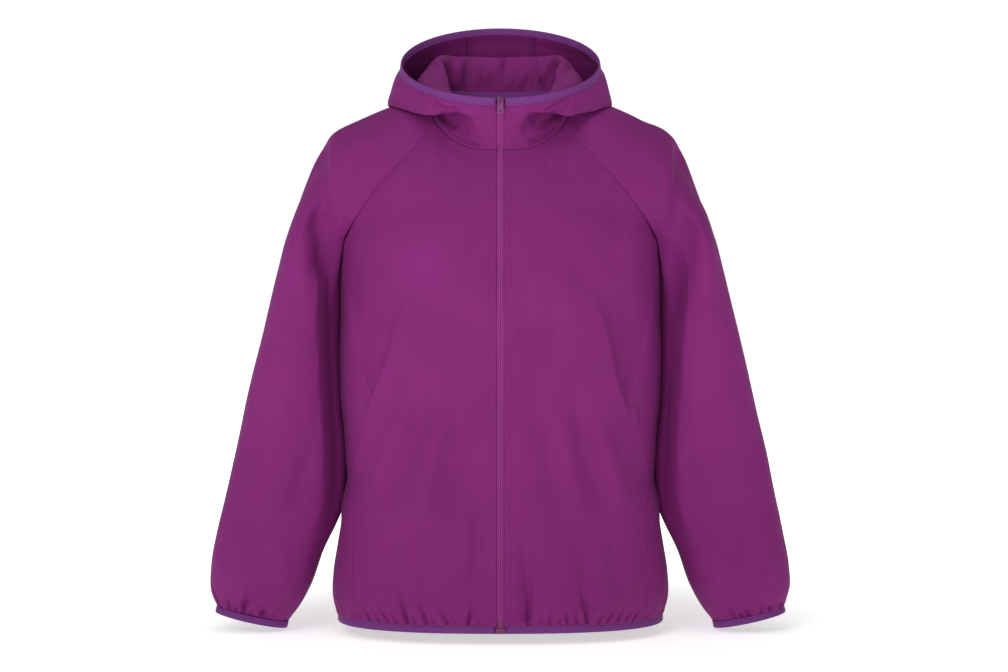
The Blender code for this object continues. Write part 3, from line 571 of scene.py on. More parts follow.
def collar_bend(grid, along):
    """Rounds the inward bend between the fronts and the collar, alike on both."""
    seam = grid[:1] * (1, 1, 0)
    depth = np.maximum(COLLAR_BEND["run"] - along, 0) ** 2 / (2 * COLLAR_BEND["radius"])
    corner = YOKE[0]["raglan"][0] - np.abs(seam[..., 0])
    depth = depth * smooth_step(corner / COLLAR_BEND["fade"]) * (seam[..., 1] < 0)
    return unit(seam) * depth[..., None]


def beside_pocket(heights):
    """1 beside the pocket opening, 0 above and below it."""
    return (smooth_step((POCKET[0] + .004 - heights) / .008)
            * smooth_step((heights - POCKET[1] + .004) / .008))


fronts = {}
for side, name in SIDES:
    grid = front_base * (side, 1, 1)
    out = outward(grid, -side)
    across, along = spans(grid)
    to_side = across[:, -1:] - across
    offset = creases(grid[..., [0, 2]], FRONT_CREASES[name])
    offset *= 1 + LOWER_DEPTH * smooth_step((-.34 - grid[..., 2]) / .08)
    offset += gathers(across[-1], along[-1] - along, HEM_FOLDS[name])
    offset += rumple(grid, (.07, .07, .16), .0022, 1 + side) * smooth_step(to_side / .02)
    offset += rumple(grid, (.03, .03, .07), .0006, 3 + side)
    offset *= (smooth_step(across / .03) * .85 + .15) * smooth_step(along / .010)
    offset *= smooth_step(to_side / .014)
    pocket = beside_pocket(grid[..., 2])
    offset += seam_tuck(to_side) * (1 - pocket) - pocket * seam_tuck(to_side, *POCKET_FULL)
    offset += seam_tuck(across - TURNED_IN, *TOPSTITCHED) + seam_tuck(across, *TOPSTITCHED)
    grid = grid + out * offset[..., None] + collar_bend(grid, along)
    piece = cloth_object("front_" + name, [grid], cloth_finish)
    dress(piece, "front_" + name)
    fronts[name] = dict(points=grid, out=out)


# ---------------------------------------------------------------- back
# One piece of the same cloth, between the back raglan seams and below the armpits round to
# the side seams, which lie towards the front. Broad folds hang from the shoulder blades.

BACK_COLUMNS = 180
SIDE_COLUMNS = 30
SIDE_FULL = 0.0028            # the body's side stands out in front of the sleeve, which lies
SIDE_LAP = 0.0010             # behind it, hidden by this much
POCKET_DIP = (.0034, .010)    # how far the back falls in beside the pocket, and how widely
BACK_FOLDS = (-.235, .235, .0150, .032, .0064, 5)
SIDE_FOLDS = (.008, .085, .0140, .028, .0056)
BACK_CREASES = [
    ([(-.110, -.150), (-.085, -.300), (-.080, -.460)], .024, .0034),
    ([(-.140, -.200), (-.128, -.330), (-.132, -.500)], .020, -.0030),
    ([(.105, -.140), (.092, -.290), (.070, -.450)], .026, .0032),
    ([(.150, -.210), (.132, -.340), (.120, -.480)], .020, -.0032),
    ([(-.020, -.300), (-.012, -.450), (-.020, -.600)], .030, -.0024),
    ([(.040, -.380), (.030, -.500), (.036, -.620)], .022, .0020),
    ([(-.060, -.480), (-.070, -.580), (-.060, -.670)], .016, -.0020),
    ([(.100, -.500), (.110, -.590), (.100, -.680)], .014, -.0020),
    ([(-.060, -.040), (-.070, -.090), (-.062, -.140)], .014, -.0014),
]


def along_side(heights):
    """Where the sleeve lies along the body's side: below the armpit, down to the waist."""
    return smooth_step((heights + .572) / .03) * smooth_step((-.196 - heights) / .03)


back_shares = np.sin(np.linspace(-math.pi / 2, math.pi / 2, BACK_COLUMNS + 1))
back_rings, side_rings = [], []
for ring in YOKE:
    full = ring["full"]
    back_rings.append(across_yoke(back_shares, ring["raglan_back"], ring["back"], full, full))
for ring in BODY:
    edge = BODY[0]["side_seam"] * ring["half_width"] / BODY[0]["half_width"]
    turns = body_turns(ring, np.abs(back_shares) * edge) * np.sign(back_shares)
    back_rings.append(body_points(ring, math.pi - turns))
    seam = body_turns(ring, np.array([ring["side_seam"], edge]))
    turns = np.linspace(seam[0], math.pi - seam[1], SIDE_COLUMNS + 1)
    side_rings.append(body_points(ring, turns))
from_raglan = back_rings[ARMPIT_ROW][-1, 0] - np.abs(back_rings[ARMPIT_ROW][:, 0])
back_base = through_rows(back_rings, body_places, ARMPIT_ROW, smooth_step(from_raglan / 0.05))
side_base = through_rows(side_rings, row_places(*BODY_STEPS))

out = outward(back_base)
across, along = spans(back_base)
raglan = from_sides(across)
above_armpit = (np.arange(len(along)) < YOKE_STEPS * ARMPIT_ROW)[:, None]
offset = creases(back_base[..., [0, 2]], BACK_CREASES)
offset += gathers(back_base[-1, :, 0], along[-1] - along, scattered_folds(*BACK_FOLDS))
offset += rumple(back_base, (.08, .08, .17), .0030, 9)
offset += rumple(back_base, (.03, .03, .07), .0007, 11)
offset *= smooth_step(along / .010) * smooth_step(raglan / np.where(above_armpit, .014, .03))
offset += np.where(above_armpit, seam_tuck(raglan), 0) + seam_tuck(along, .0006)
back_grids = [back_base + out * offset[..., None]]
for side in (1, -1):
    grid = side_base * (side, 1, 1)
    out = outward(grid, -side)
    across, along = spans(grid)
    to_back = across[:, -1:] - across
    offset = gathers(across[-1], along[-1] - along, scattered_folds(*SIDE_FOLDS, 6 + side))
    offset *= smooth_step(to_back / .02) * smooth_step(across / .010)
    offset += seam_tuck(across) + beside_pocket(grid[..., 2]) * seam_tuck(across, *POCKET_DIP)
    offset += SIDE_FULL * along_side(grid[..., 2]) * np.exp(-((grid[..., 1] + .014) / .018) ** 2)
    back_grids.append(grid + out * offset[..., None])
piece = cloth_object("back", back_grids, cloth_finish)
dress(piece, "back")


# ---------------------------------------------------------------- sleeves
# Raglan sleeves of the same cloth, each one piece with a seam down its inner side. Full at
# the forearm, drawn in by the elastic cuff, with a sharp fold from the shoulder to the armpit.

# Each ring's valley is where it falls away towards the body, and how far.
SLEEVE = table_of("x y z half_width half_depth lean valley", [
    (.2527, .000, -.1904, .0369, .090, 0.0, (1, 0)),
    (.2632, .000, -.2690, .0465, .083, 3.0, (.46, .50)),
    (.2716, .000, -.3370, .0544, .077, 5.0, (.56, .50)),
    (.2784, -.002, -.4050, .0633, .072, 7.0, (.63, .50)),
    (.2825, -.004, -.4730, .0739, .067, 8.5, (.63, .50)),
    (.2930, -.007, -.5410, .0778, .063, 10.0, (.68, .40)),
    (.3112, -.010, -.5950, .0718, .058, 11.5, (.80, .25)),
    (.3230, -.013, -.6400, .0676, .052, 12.5, (.90, .0)),
    (.3315, -.015, -.6700, .0602, .041, 12.7, (.90, .0)),
    (.3353, -.016, -.6925, .0478, .0285, 12.7, (.90, .0)),
])
SLEEVE_FLAT = 2.6             # the sleeves' rings are this square
INNER_ANGLE = 145.0           # where the raglan line runs down the sleeve, from its outer side
OUTER_COLUMNS = 150
INNER_COLUMNS = 36
SLEEVE_YOKE_STEPS = 6
SLEEVE_STEPS = (16, 14, 14, 14, 14, 12, 15, 15, 12)
ARMPIT_OUT = (.0014, .0008)   # how far the sleeve's top starts outside the body, in x and y
ARMPIT_GAP = 0.0019           # between the body and the inner side of the sleeve's top
CUFF_FOLDS = (.004, .235, .0118, .045, .0088)
CUFF_PINCH = (0.12, 0.007)
INNER_FOLDS = (.006, .060, .0110, .024, .0050)
SLEEVE_CREASES = {
    "left": [
        ([(-.2290, -.046), (-.2250, -.078), (-.2200, -.115), (-.2110, -.190)], .0050, .0016,
         (.25, .1), -.0190, .012, .036),
        ([(-.242, -.090), (-.240, -.140), (-.234, -.196), (-.231, -.250)], .0120, -.0100, (.8, .2)),
        ([(-.256, -.110), (-.257, -.190), (-.258, -.300)], .0090, .0026),
        ([(-.286, -.330), (-.282, -.430), (-.270, -.520)], .020, .0024),
        ([(-.300, -.280), (-.306, -.380), (-.300, -.470)], .016, -.0024),
        ([(-.325, -.420), (-.320, -.520), (-.330, -.600)], .020, -.0026),
        ([(-.250, -.470), (-.262, -.500), (-.280, -.560)], .012, -.0046),
        ([(-.345, -.560), (-.352, -.620), (-.362, -.660)], .013, .0024),
        ([(-.300, -.590), (-.312, -.630), (-.322, -.665)], .012, -.0030),
        ([(-.170, -.045), (-.196, -.075), (-.214, -.110)], .016, .0012),
    ],
    "right": [
        ([(.2320, -.048), (.2280, -.080), (.2220, -.116), (.2120, -.190)], .0050, .0016, (.25, .1),
         .0190, .013, .040),
        ([(.244, -.120), (.243, -.180), (.240, -.240), (.238, -.320)], .0150, -.0085, (.7, .3)),
        ([(.266, -.120), (.268, -.200), (.272, -.300)], .012, .0022),
        ([(.252, -.350), (.256, -.400), (.252, -.450)], .014, .0030),
        ([(.282, -.350), (.286, -.450), (.276, -.530)], .022, .0020),
        ([(.318, -.400), (.322, -.500), (.318, -.600)], .019, -.0026),
        ([(.240, -.478), (.256, -.492), (.276, -.530)], .009, -.0046),
        ([(.352, -.540), (.350, -.600), (.358, -.655)], .014, .0022),
        ([(.352, -.610), (.340, -.635), (.332, -.668)], .009, -.0040),
        ([(.180, -.050), (.200, -.080), (.218, -.116)], .016, .0012),
    ],
}
SLEEVE_BACK_CREASES = [
    ([(.222, -.060), (.216, -.120), (.208, -.176)], .009, -.0030),
    ([(.262, -.180), (.256, -.280), (.262, -.380)], .018, .0026),
    ([(.290, -.330), (.282, -.420), (.292, -.520)], .018, -.0026),
    ([(.318, -.450), (.330, -.540), (.326, -.620)], .018, .0022),
    ([(.265, -.520), (.280, -.580), (.306, -.640)], .014, -.0022),
]


def over_shoulder(ring, places):
    """The sleeve's part of a yoke ring, from the front raglan seam over to the back one."""
    front = np.array(ring["raglan"])
    back = np.array(ring["raglan_back"])
    shoulder = np.array([ring["shoulder"][0], 0, ring["shoulder"][1]])
    middles = []
    for edge, bulge in ((front, ring["bulge"]), (back, ring["bulge_back"])):
        middle = edge + (shoulder - edge) * bulge[0]
        middle[1] = edge[1] * bulge[1]
        middles.append(middle)
    points = np.array([front, middles[0], shoulder, middles[1], back])[:, None]
    return through_rows(points, places)[:, 0]


def sleeve_points(ring, angles, flat=SLEEVE_FLAT):
    """Points on a sleeve ring, by angles from its outer side towards the front."""
    lean = math.radians(ring["lean"])
    cosine, sine = np.cos(np.radians(angles)), np.sin(np.radians(angles))
    wide = np.sign(cosine) * np.abs(cosine) ** (2 / flat)
    deep = np.sign(sine) * np.abs(sine) ** (2 / flat)
    valley = smooth_step((-wide - ring["valley"][0]) / .24) * (sine > 0)
    deep = deep * (1 - ring["valley"][1] * valley)
    wide = ring["half_width"] * wide
    deep = ring["half_depth"] * deep
    return np.column_stack([ring["x"] + wide * math.cos(lean), ring["y"] - deep,
                            ring["z"] + wide * math.sin(lean)])


outer_places = np.linspace(0, 4, OUTER_COLUMNS + 1)
outer_rings = [over_shoulder(ring, outer_places) for ring in YOKE]
seam_turn = body_turns(BODY[0], np.array([BODY[0]["side_seam"]]))
armpit_front = body_points(BODY[0], seam_turn)[0] + (ARMPIT_OUT[0], -ARMPIT_OUT[1], 0)
armpit_back = body_points(BODY[0], math.pi - seam_turn)[0] + (ARMPIT_OUT[0], ARMPIT_OUT[1], 0)
half_way = [sleeve_points(SLEEVE[0], np.array([angle]))[0] for angle in
            (INNER_ANGLE / 2, 0, -INNER_ANGLE / 2)]
arm_top = np.array([armpit_front, *half_way, armpit_back])[:, None]
outer_rings.append(through_rows(arm_top, outer_places)[:, 0])
under = np.linspace(armpit_back, armpit_front, INNER_COLUMNS + 1)
depth = np.abs(under[1:-1, 1]) / BODY[0]["front"]
under[1:-1, 0] = BODY[0]["half_width"] * (1 - depth ** SQUARENESS) ** (1 / SQUARENESS) + ARMPIT_GAP
inner_rings = [under]
outer_angles = np.linspace(INNER_ANGLE, -INNER_ANGLE, OUTER_COLUMNS + 1)
inner_angles = np.linspace(-INNER_ANGLE, INNER_ANGLE - 360, INNER_COLUMNS + 1)
for ring in SLEEVE[1:]:
    flat = 2 + (SLEEVE_FLAT - 2) * min(1, (ring["z"] - SLEEVE[-1]["z"]) / .05)
    outer_rings.append(sleeve_points(ring, outer_angles, flat))
    inner_rings.append(sleeve_points(ring, inner_angles, flat))
from_edge = 1 - np.abs(np.linspace(-1, 1, OUTER_COLUMNS + 1))
outer_rows = row_places(*[SLEEVE_YOKE_STEPS] * len(YOKE), *SLEEVE_STEPS)
outer_base = through_rows(outer_rings, outer_rows, ARMPIT_ROW, smooth_step(from_edge / 0.3))
inner_base = through_rows(inner_rings, row_places(*SLEEVE_STEPS))

for side, name in SIDES:
    grid = outer_base * (side, 1, 1)
    out = outward(grid, -side)
    across, along = spans(grid)
    to_seam = from_sides(across)
    above_armpit = (np.arange(len(along)) < SLEEVE_YOKE_STEPS * ARMPIT_ROW)[:, None]
    is_front = smooth_step((.012 - grid[..., 1]) / .024)
    places = grid[..., [0, 2]]
    offset = creases(places, SLEEVE_CREASES[name]) * is_front
    offset += creases(places * (side, 1), SLEEVE_BACK_CREASES) * (1 - is_front)
    folds = scattered_folds(*CUFF_FOLDS, 20 + side)
    offset += gathers(across[-1], along[-1] - along, folds, CUFF_PINCH)
    offset += rumple(grid, (.06, .06, .15), .0026, 14 + side)
    offset += rumple(grid, (.025, .025, .06), .0007, 17 + side)
    offset *= smooth_step(along / .010) * smooth_step(to_seam / np.where(above_armpit, .012, .03))
    offset += np.where(above_armpit, seam_tuck(to_seam), 0) + seam_tuck(along, .0006)
    outer = grid + out * offset[..., None]
    inner = inner_base * (side, 1, 1)
    across, along = spans(inner)
    folds = scattered_folds(*INNER_FOLDS, 30 + side)
    offset = gathers(across[-1], along[-1] - along, folds)
    offset *= smooth_step(from_sides(across) / .012)
    widest = np.interp(-inner[..., 2], [-row["height"] for row in BODY],
                       [row["half_width"] for row in BODY])
    lap = side * inner[..., 0] - widest - SIDE_FULL + SIDE_LAP
    lap = np.clip(lap, 0, .0100) * along_side(inner[..., 2])
    offset += lap * np.exp(-((inner[..., 1] - .022) / .017) ** 2)
    inner = inner + outward(inner, -side) * offset[..., None]
    piece = cloth_object("sleeve_" + name, [outer, inner], cloth_finish)
    dress(piece, "sleeve_" + name)


# ---------------------------------------------------------------- hood
# Three panels of the same cloth: two sides and a middle one, joined by double-stitched seams.
# The hood stands open behind the neck: each panel rises inside the neck, turns over a roll,
# drops into a pouch behind it, and comes up again as the outer wall to the bound edge.

RIM = dict(half_width=.1355, half_depth=.1275, centre_y=.0225, front_z=-.0085, rise=.5275)
HOOD = table_of("angle crest roll bottom fold wall", [
    (0, (.0905, -.0640), (.0932, -.054), (.0960, -.044), (.0990, -.034), (.1020, -.024)),
    (20, (.0912, -.0520), (.0942, -.045), (.0982, -.038), (.1025, -.031), (.1058, -.022)),
    (33, (.0955, -.0090), (.1010, -.0070), (.1035, -.018), (.1080, -.0265), (.1105, -.0165)),
    (43, (.0900, .0010), (.1055, .0035), (.1120, -.015), (.1185, -.0285), (.1190, -.0125)),
    (65, (.0760, .0160), (.1100, .0195), (.1190, -.008), (.1280, -.0205), (.1290, .000)),
    (90, (.0790, .0395), (.1020, .0380), (.1270, .005), (.1500, -.0050), (.1450, .020)),
    (115, (.0965, .0640), (.1080, .0560), (.1360, .006), (.1610, -.0090), (.1580, .026)),
    (130, (.1060, .0740), (.1210, .0680), (.1520, -.006), (.1760, -.0300), (.1670, .030)),
    (145, (.1053, .0755), (.1250, .070), (.1640, -.046), (.1850, -.0590), (.1740, .032)),
    (180, (.0940, .0757), (.1120, .069), (.1480, -.083), (.1720, -.0880), (.1750, .020)),
])
HOOD_PANEL_HALF = 0.047       # half the middle panel's width
HOOD_STOP = 0.0045            # below the rim, inside the binding
BINDING_HOLD = 0.0105         # the binding keeps the cloth flat over this width
CURL = dict(start=60, over=70, slope=1.4, reach=.024)   # the edge turns outwards at the back
HOOD_STEPS = (14, 12, 18, 12, 14, 22)
HOOD_LINES = 721              # lines up the hood, from the front centre round to the back
HOOD_SIDE_COLUMNS = 92
HOOD_CENTRE_COLUMNS = 48


def neck_line(count=181):
    """The neck seam from the front centre round to the back centre, on the +X side."""
    ring = YOKE[0]
    shares = np.linspace(0, 1, count)
    front = across_yoke(shares, ring["raglan"], ring["front"], ring["full"], ring["drop"])
    side = over_shoulder(ring, np.linspace(0, 4, count))
    back = across_yoke(shares[::-1], ring["raglan_back"], ring["back"], ring["full"], ring["full"])
    return np.vstack([front, side[1:-1], back])


def line_at(places, known, line):
    """Points read off a line at the given places, from the known places of its own points."""
    return np.column_stack([np.interp(places, known, line[:, axis]) for axis in range(3)])


def run_along(line):
    """Each point's distance along a line from its first point."""
    return np.concatenate([[0], np.cumsum(np.linalg.norm(np.diff(line, axis=0), axis=1))])


def level_curve(angles, values, at):
    """A smooth curve through a table column, level at both ends."""
    angles, values = np.asarray(angles, float), np.asarray(values, float)
    steps = np.diff(angles)
    slopes = np.concatenate([[0], inner_slopes(np.diff(values) / steps, steps), [0]])
    row = np.clip(np.searchsorted(angles, at, side="right") - 1, 0, len(steps) - 1)
    return smooth_curve((at - angles[row]) / steps[row], steps[row], values[row], values[row + 1],
                        slopes[row], slopes[row + 1])


def rim_line(angles):
    """Points on the hood's rim: an ellipse on a plane that rises to the back."""
    sine, cosine = np.sin(np.radians(angles)), np.cos(np.radians(angles))
    square = (sine / RIM["half_width"]) ** 2 + (cosine / RIM["half_depth"]) ** 2
    linear = cosine * RIM["centre_y"] / RIM["half_depth"] ** 2
    constant = (RIM["centre_y"] / RIM["half_depth"]) ** 2 - 1
    distance = (-linear + np.sqrt(linear ** 2 - square * constant)) / square
    y = -distance * cosine
    z = RIM["front_z"] + (y - RIM["centre_y"] + RIM["half_depth"]) * RIM["rise"]
    return np.column_stack([distance * sine, y, z])


def mirrored(half, axis):
    """A line or a grid that ends at x = 0, with its mirror image after it."""
    image = np.delete(np.flip(half, axis), 0, axis) * (-1, 1, 1)
    return np.concatenate([half, image], axis=axis)


hood_angles = np.linspace(0, 180, HOOD_LINES)
neck = neck_line()
neck_angles = np.degrees(np.arctan2(neck[:, 0], -neck[:, 1]))
stations = [line_at(hood_angles, neck_angles, neck)]
turn = np.radians(hood_angles)
table_angles = [row["angle"] for row in HOOD]
for place in ("crest", "roll", "bottom", "fold", "wall"):
    spots = np.array([row[place] for row in HOOD])
    distance = level_curve(table_angles, spots[:, 0], hood_angles)
    height = level_curve(table_angles, spots[:, 1], hood_angles)
    stations.append(np.column_stack([distance * np.sin(turn), -distance * np.cos(turn), height]))
stations.append(rim_line(hood_angles))
hood_sheet = through_rows(stations, row_places(*HOOD_STEPS))
near_rim = slice(-HOOD_STEPS[-1] - 1, None)
to_rim = np.linalg.norm(np.diff(hood_sheet[near_rim], axis=0), axis=2)
to_rim = np.concatenate([np.cumsum(to_rim[::-1], axis=0)[::-1], np.zeros((1, len(hood_angles)))])
share = np.clip(to_rim / CURL["reach"], 0, 1)
inwards = CURL["reach"] * CURL["slope"] * share * (1 - share) ** 2
inwards *= smooth_step((hood_angles - CURL["start"]) / CURL["over"])
sideways = np.column_stack([np.sin(turn), -np.cos(turn), 0 * turn])
hood_sheet[near_rim] -= inwards[..., None] * sideways
rim_ups = []
for column in range(len(hood_angles)):
    tail = hood_sheet[near_rim, column].copy()
    run = run_along(tail)
    closer = 1 - (1 - np.linspace(0, 1, len(tail))) ** 1.5
    at = max(run[-1] - HOOD_STOP, run[-1] * .3) * closer
    rim_ups.append(unit(tail[-1] - line_at([run[-1] - BINDING_HOLD], run, tail)[0]))
    held = run > run[-1] - BINDING_HOLD
    tail[held] = tail[-1] - rim_ups[-1] * (run[-1] - run[held])[:, None]
    hood_sheet[near_rim, column] = line_at(at, run, tail)
rim_ups = np.array(rim_ups)


def hood_columns(centre, count):
    """The hood's fine rows over one side panel, or over the +X half of the middle one."""
    grid = []
    for row in hood_sheet:
        widest = int(np.argmax(row[:, 0]))
        seam = np.interp(-HOOD_PANEL_HALF, -row[widest:, 0], hood_angles[widest:])
        front = np.interp(FRONT_EDGE, row[:widest, 0], hood_angles[:widest])
        first, last = (seam, 180) if centre else (front, seam)
        grid.append(line_at(np.linspace(first, last, count + 1), hood_angles, row))
    return np.array(grid)


HOOD_DEPTH = 1.55              # all of the hood's creases are laid in this much deeper
HOOD_CREASES = {
    "left": [
        ([(-.092, .000), (-.078, -.022), (-.052, -.050)], .0060, -.0044, (.2, .4)),
        ([(-.068, -.006), (-.058, -.030), (-.036, -.060)], .0055, -.0034),
        ([(-.070, -.030), (-.056, -.044), (-.040, -.052)], .0045, -.0024),
        ([(-.076, -.044), (-.050, -.060), (-.020, -.068)], .0050, -.0030),
        ([(-.084, .070), (-.076, .046), (-.062, .022)], .0070, -.0044, (.2, .3)),
        ([(-.064, .070), (-.060, .050), (-.052, .030)], .0060, -.0030),
        ([(-.050, .070), (-.056, .058), (-.060, .048)], .0045, -.0022),
    ],
    "right": [
        ([(.092, -.002), (.072, -.022), (.044, -.052)], .0065, -.0056, (.2, .4)),
        ([(.060, -.004), (.048, -.022), (.030, -.034)], .0055, -.0032),
        ([(.050, -.022), (.040, -.036), (.026, -.054)], .0050, -.0036),
        ([(.080, -.034), (.062, -.051), (.032, -.067)], .0062, -.0042),
        ([(.084, .072), (.066, .052), (.054, .030)], .0050, -.0048, (.15, .3)),
        ([(.092, .060), (.082, .044), (.072, .030)], .0055, -.0028),
        ([(.052, .066), (.060, .052), (.056, .036)], .0045, -.0022),
    ],
    "centre": [
        ([(.004, .073), (.001, .064), (-.001, .055)], .0028, -.0040, (.1, .5)),
        ([(.040, .058), (.032, .044), (.026, .026)], .0045, -.0036),
        ([(.020, .050), (.014, .040), (.010, .028)], .0050, -.0022),
        ([(-.034, .066), (-.030, .050), (-.034, .032)], .0050, -.0028),
        ([(-.014, .060), (-.020, .046), (-.018, .032)], .0060, -.0018),
    ],
}


def shape_hood(grid, name, side):
    """The hood's own wrinkles, and the pull of its seams."""
    out = outward(grid, side)
    across, along = spans(grid)
    inner_wall = 1 - smooth_step((along - along[sum(HOOD_STEPS[:2])]) / .012)
    in_front = smooth_step(-grid[..., 1] / .02)
    offset = HOOD_DEPTH * creases(grid[..., [0, 2]], HOOD_CREASES[name])
    offset *= np.maximum(inner_wall, in_front) * smooth_step(along / .008)
    offset += rumple(grid, (.030, .030, .045), .0016, 41 + side) * smooth_step(along / .02)
    offset += rumple(grid, (.012, .012, .020), .0004, 47 + side)
    offset *= smooth_step((along[-1:] - along) / .03) * smooth_step(across / .012)
    return out, offset


hood = {}
for side, name in SIDES:
    grid = hood_columns(False, HOOD_SIDE_COLUMNS) * (side, 1, 1)
    out, offset = shape_hood(grid, name, side)
    across, along = spans(grid)
    to_seam = across[:, -1:] - across
    offset = offset * smooth_step(to_seam / .014) + seam_tuck(to_seam, *TOPSTITCHED)
    grid = grid + out * offset[..., None] + collar_bend(grid, along)
    piece = cloth_object("hood_side_" + name, [grid], cloth_finish)
    dress(piece, "hood_side_" + name)
    hood[name] = dict(points=grid, out=out)
grid = mirrored(hood_columns(True, HOOD_CENTRE_COLUMNS // 2), 1)
out, offset = shape_hood(grid, "centre", 1)
across, along = spans(grid)
to_seam = from_sides(across)
offset = offset * smooth_step(to_seam / .014) + seam_tuck(to_seam, *TOPSTITCHED)
grid = grid + out * offset[..., None]
piece = cloth_object("hood_centre", [grid], cloth_finish)
dress(piece, "hood_centre")
hood["centre"] = dict(points=grid, out=out)


# ---------------------------------------------------------------- bindings
# Soft elastic tape, folded over the raw edge of the hood, the hem and the cuffs and stitched
# on stretched, so that it draws the cloth in. A tape of the same stuff covers the back of the
# neck seam inside.

TAPE_WALL = 0.0008
TAPE_LEG = 0.0009             # from the middle of the binding to the middle of each leg
TAPE_STITCH = 0.0022          # from the open edges to the stitching
TAPE_PUCKER = 0.0003          # how far the tape waves in and out
TAPE_WAVES = 170              # and how finely, per metre
TAPE_DENT = (0.35, .0009)     # how much the stitching thins the tape, and how widely
HOOD_BINDING = 0.0100
HEM_BINDING = 0.0105
CUFF_BINDING = 0.0090
BINDING_END = 0.0062          # from the middle of the zip to the end of a binding
HEM_Z = -0.7000
HEM_DRAWN = 0.0015            # the binding lies this far inside the ring at the hem
CUFF_DROP = (.0005, -.0054)   # from the sleeve's last ring to its binding, in x and z

binding_finish = weave_material("elastic_binding", (0.205, 0.043, 0.250), 0.6, 0.0009, 0.12,
                                0.6, 0.04)


def tape_outs(path, ups, closed=False):
    """Unit directions out of the side of a tape that runs along a path."""
    if closed:
        forward = np.roll(path, -1, axis=0) - np.roll(path, 1, axis=0)
    else:
        forward = np.gradient(path, axis=0)
    return unit(np.cross(forward, ups))


def folded_tape(name, path, ups, width, fold, closed=False):
    """A tape folded in half over an edge, along a path. The fold lies up (1) or down (-1)."""
    outs = tape_outs(path, ups, closed)
    leg = np.linspace(-width / 2, width / 2 - TAPE_LEG, 9)
    turn = np.linspace(math.pi / 2, -math.pi / 2, 9)[1:-1]
    high = np.concatenate([leg, leg[-1] + TAPE_LEG * np.cos(turn), leg[::-1]]) * fold
    deep = np.concatenate([np.full(9, TAPE_LEG), TAPE_LEG * np.sin(turn), np.full(9, -TAPE_LEG)])
    held = np.abs(high * fold + width / 2 - TAPE_STITCH)
    deep *= 1 + seam_tuck(held, *TAPE_DENT) - 0.2 * (held == held.min())
    girth = run_along(np.column_stack([high, deep]))
    distance = run_along(path)
    wave = [noise.noise(Vector((d * TAPE_WAVES, 3.1, width * 900))) for d in distance]
    distance = np.append(distance, 2 * distance[-1] - distance[-2])
    deep = deep[None, :, None] + np.array(wave)[:, None, None] * TAPE_PUCKER
    rings = path[:, None] + ups[:, None] * high[None, :, None] + outs[:, None] * deep
    bm = bmesh.new()
    layer = bm.loops.layers.uv.new("weave")
    verts = [[bm.verts.new(point) for point in ring] for ring in rings]
    for i in range(len(rings) if closed else len(rings) - 1):
        k = (i + 1) % len(rings)
        for j in range(len(high) - 1):
            face = bm.faces.new((verts[i][j], verts[i][j + 1], verts[k][j + 1], verts[k][j]))
            corners = ((i, j), (i, j + 1), (i + 1, j + 1), (i + 1, j))
            for loop, (u, v) in zip(face.loops, corners):
                loop[layer].uv = (distance[u], girth[v])
    return thin_wall(name, bm, binding_finish, TAPE_WALL)


rim_start = math.degrees(math.asin(BINDING_END / -rim_line(np.array([0.0]))[0, 1]))
rim_angles = np.linspace(rim_start, 180, 150)
rim_path = rim_line(rim_angles)
ups = line_at(rim_angles, hood_angles, rim_ups)
rim_path = mirrored(rim_path - ups * HOOD_BINDING / 2, 0)
rim_ups = mirrored(ups, 0)
piece = folded_tape("hood_binding", rim_path, rim_ups, HOOD_BINDING, 1)
dress(piece, "hood_binding")

hem_row = dict(BODY[-1], height=HEM_Z + HEM_BINDING / 2)
for size in ("half_width", "front", "back"):
    hem_row[size] -= HEM_DRAWN
hem_start = float(body_turns(hem_row, np.array([BINDING_END]))[0])
hem_turns = np.linspace(hem_start, 2 * math.pi - hem_start, 420)
hem_path = body_points(hem_row, hem_turns)
hem_ups = np.tile([0.0, 0.0, 1.0], (len(hem_path), 1))
piece = folded_tape("hem_binding", hem_path, hem_ups, HEM_BINDING, -1)
dress(piece, "hem_binding")

cuff_ring = dict(SLEEVE[-1], x=.3350 + CUFF_DROP[0], z=-.6905 + CUFF_DROP[1], half_width=.0485,
                 half_depth=.029)
cuff_lean = math.radians(cuff_ring["lean"])
cuff_paths = {}
for side, name in SIDES:
    path = sleeve_points(cuff_ring, np.linspace(0, 360, 120, endpoint=False), 2) * (side, 1, 1)
    ups = np.tile([-math.sin(cuff_lean) * side, 0, math.cos(cuff_lean)], (len(path), 1))
    piece = folded_tape("cuff_binding_" + name, path, ups, CUFF_BINDING, -1, True)
    dress(piece, "cuff_binding_" + name)
    cuff_paths[name] = (path, ups)

NECK_TAPE = dict(angle=128, low=-.01, high=.14, behind=.0024, thick=.0010)
tape_angles = np.linspace(NECK_TAPE["angle"], 180, 50)
neck_rows = through_rows(stations, np.linspace(NECK_TAPE["low"], NECK_TAPE["high"], 7))
grid = np.array([line_at(tape_angles, hood_angles, row) for row in neck_rows])
grid[..., :2] -= unit(grid[..., :2]) * NECK_TAPE["behind"]
piece = cloth_object("back_neck_tape", [mirrored(grid, 1)], binding_finish, NECK_TAPE["thick"])
dress(piece, "back_neck_tape")


# ---------------------------------------------------------------- zip
# A fine coil zip, closed to the top: two rows of moulded coil between two woven tapes, a metal
# slider with its pull tab, and a moulded pin and box at the hem.

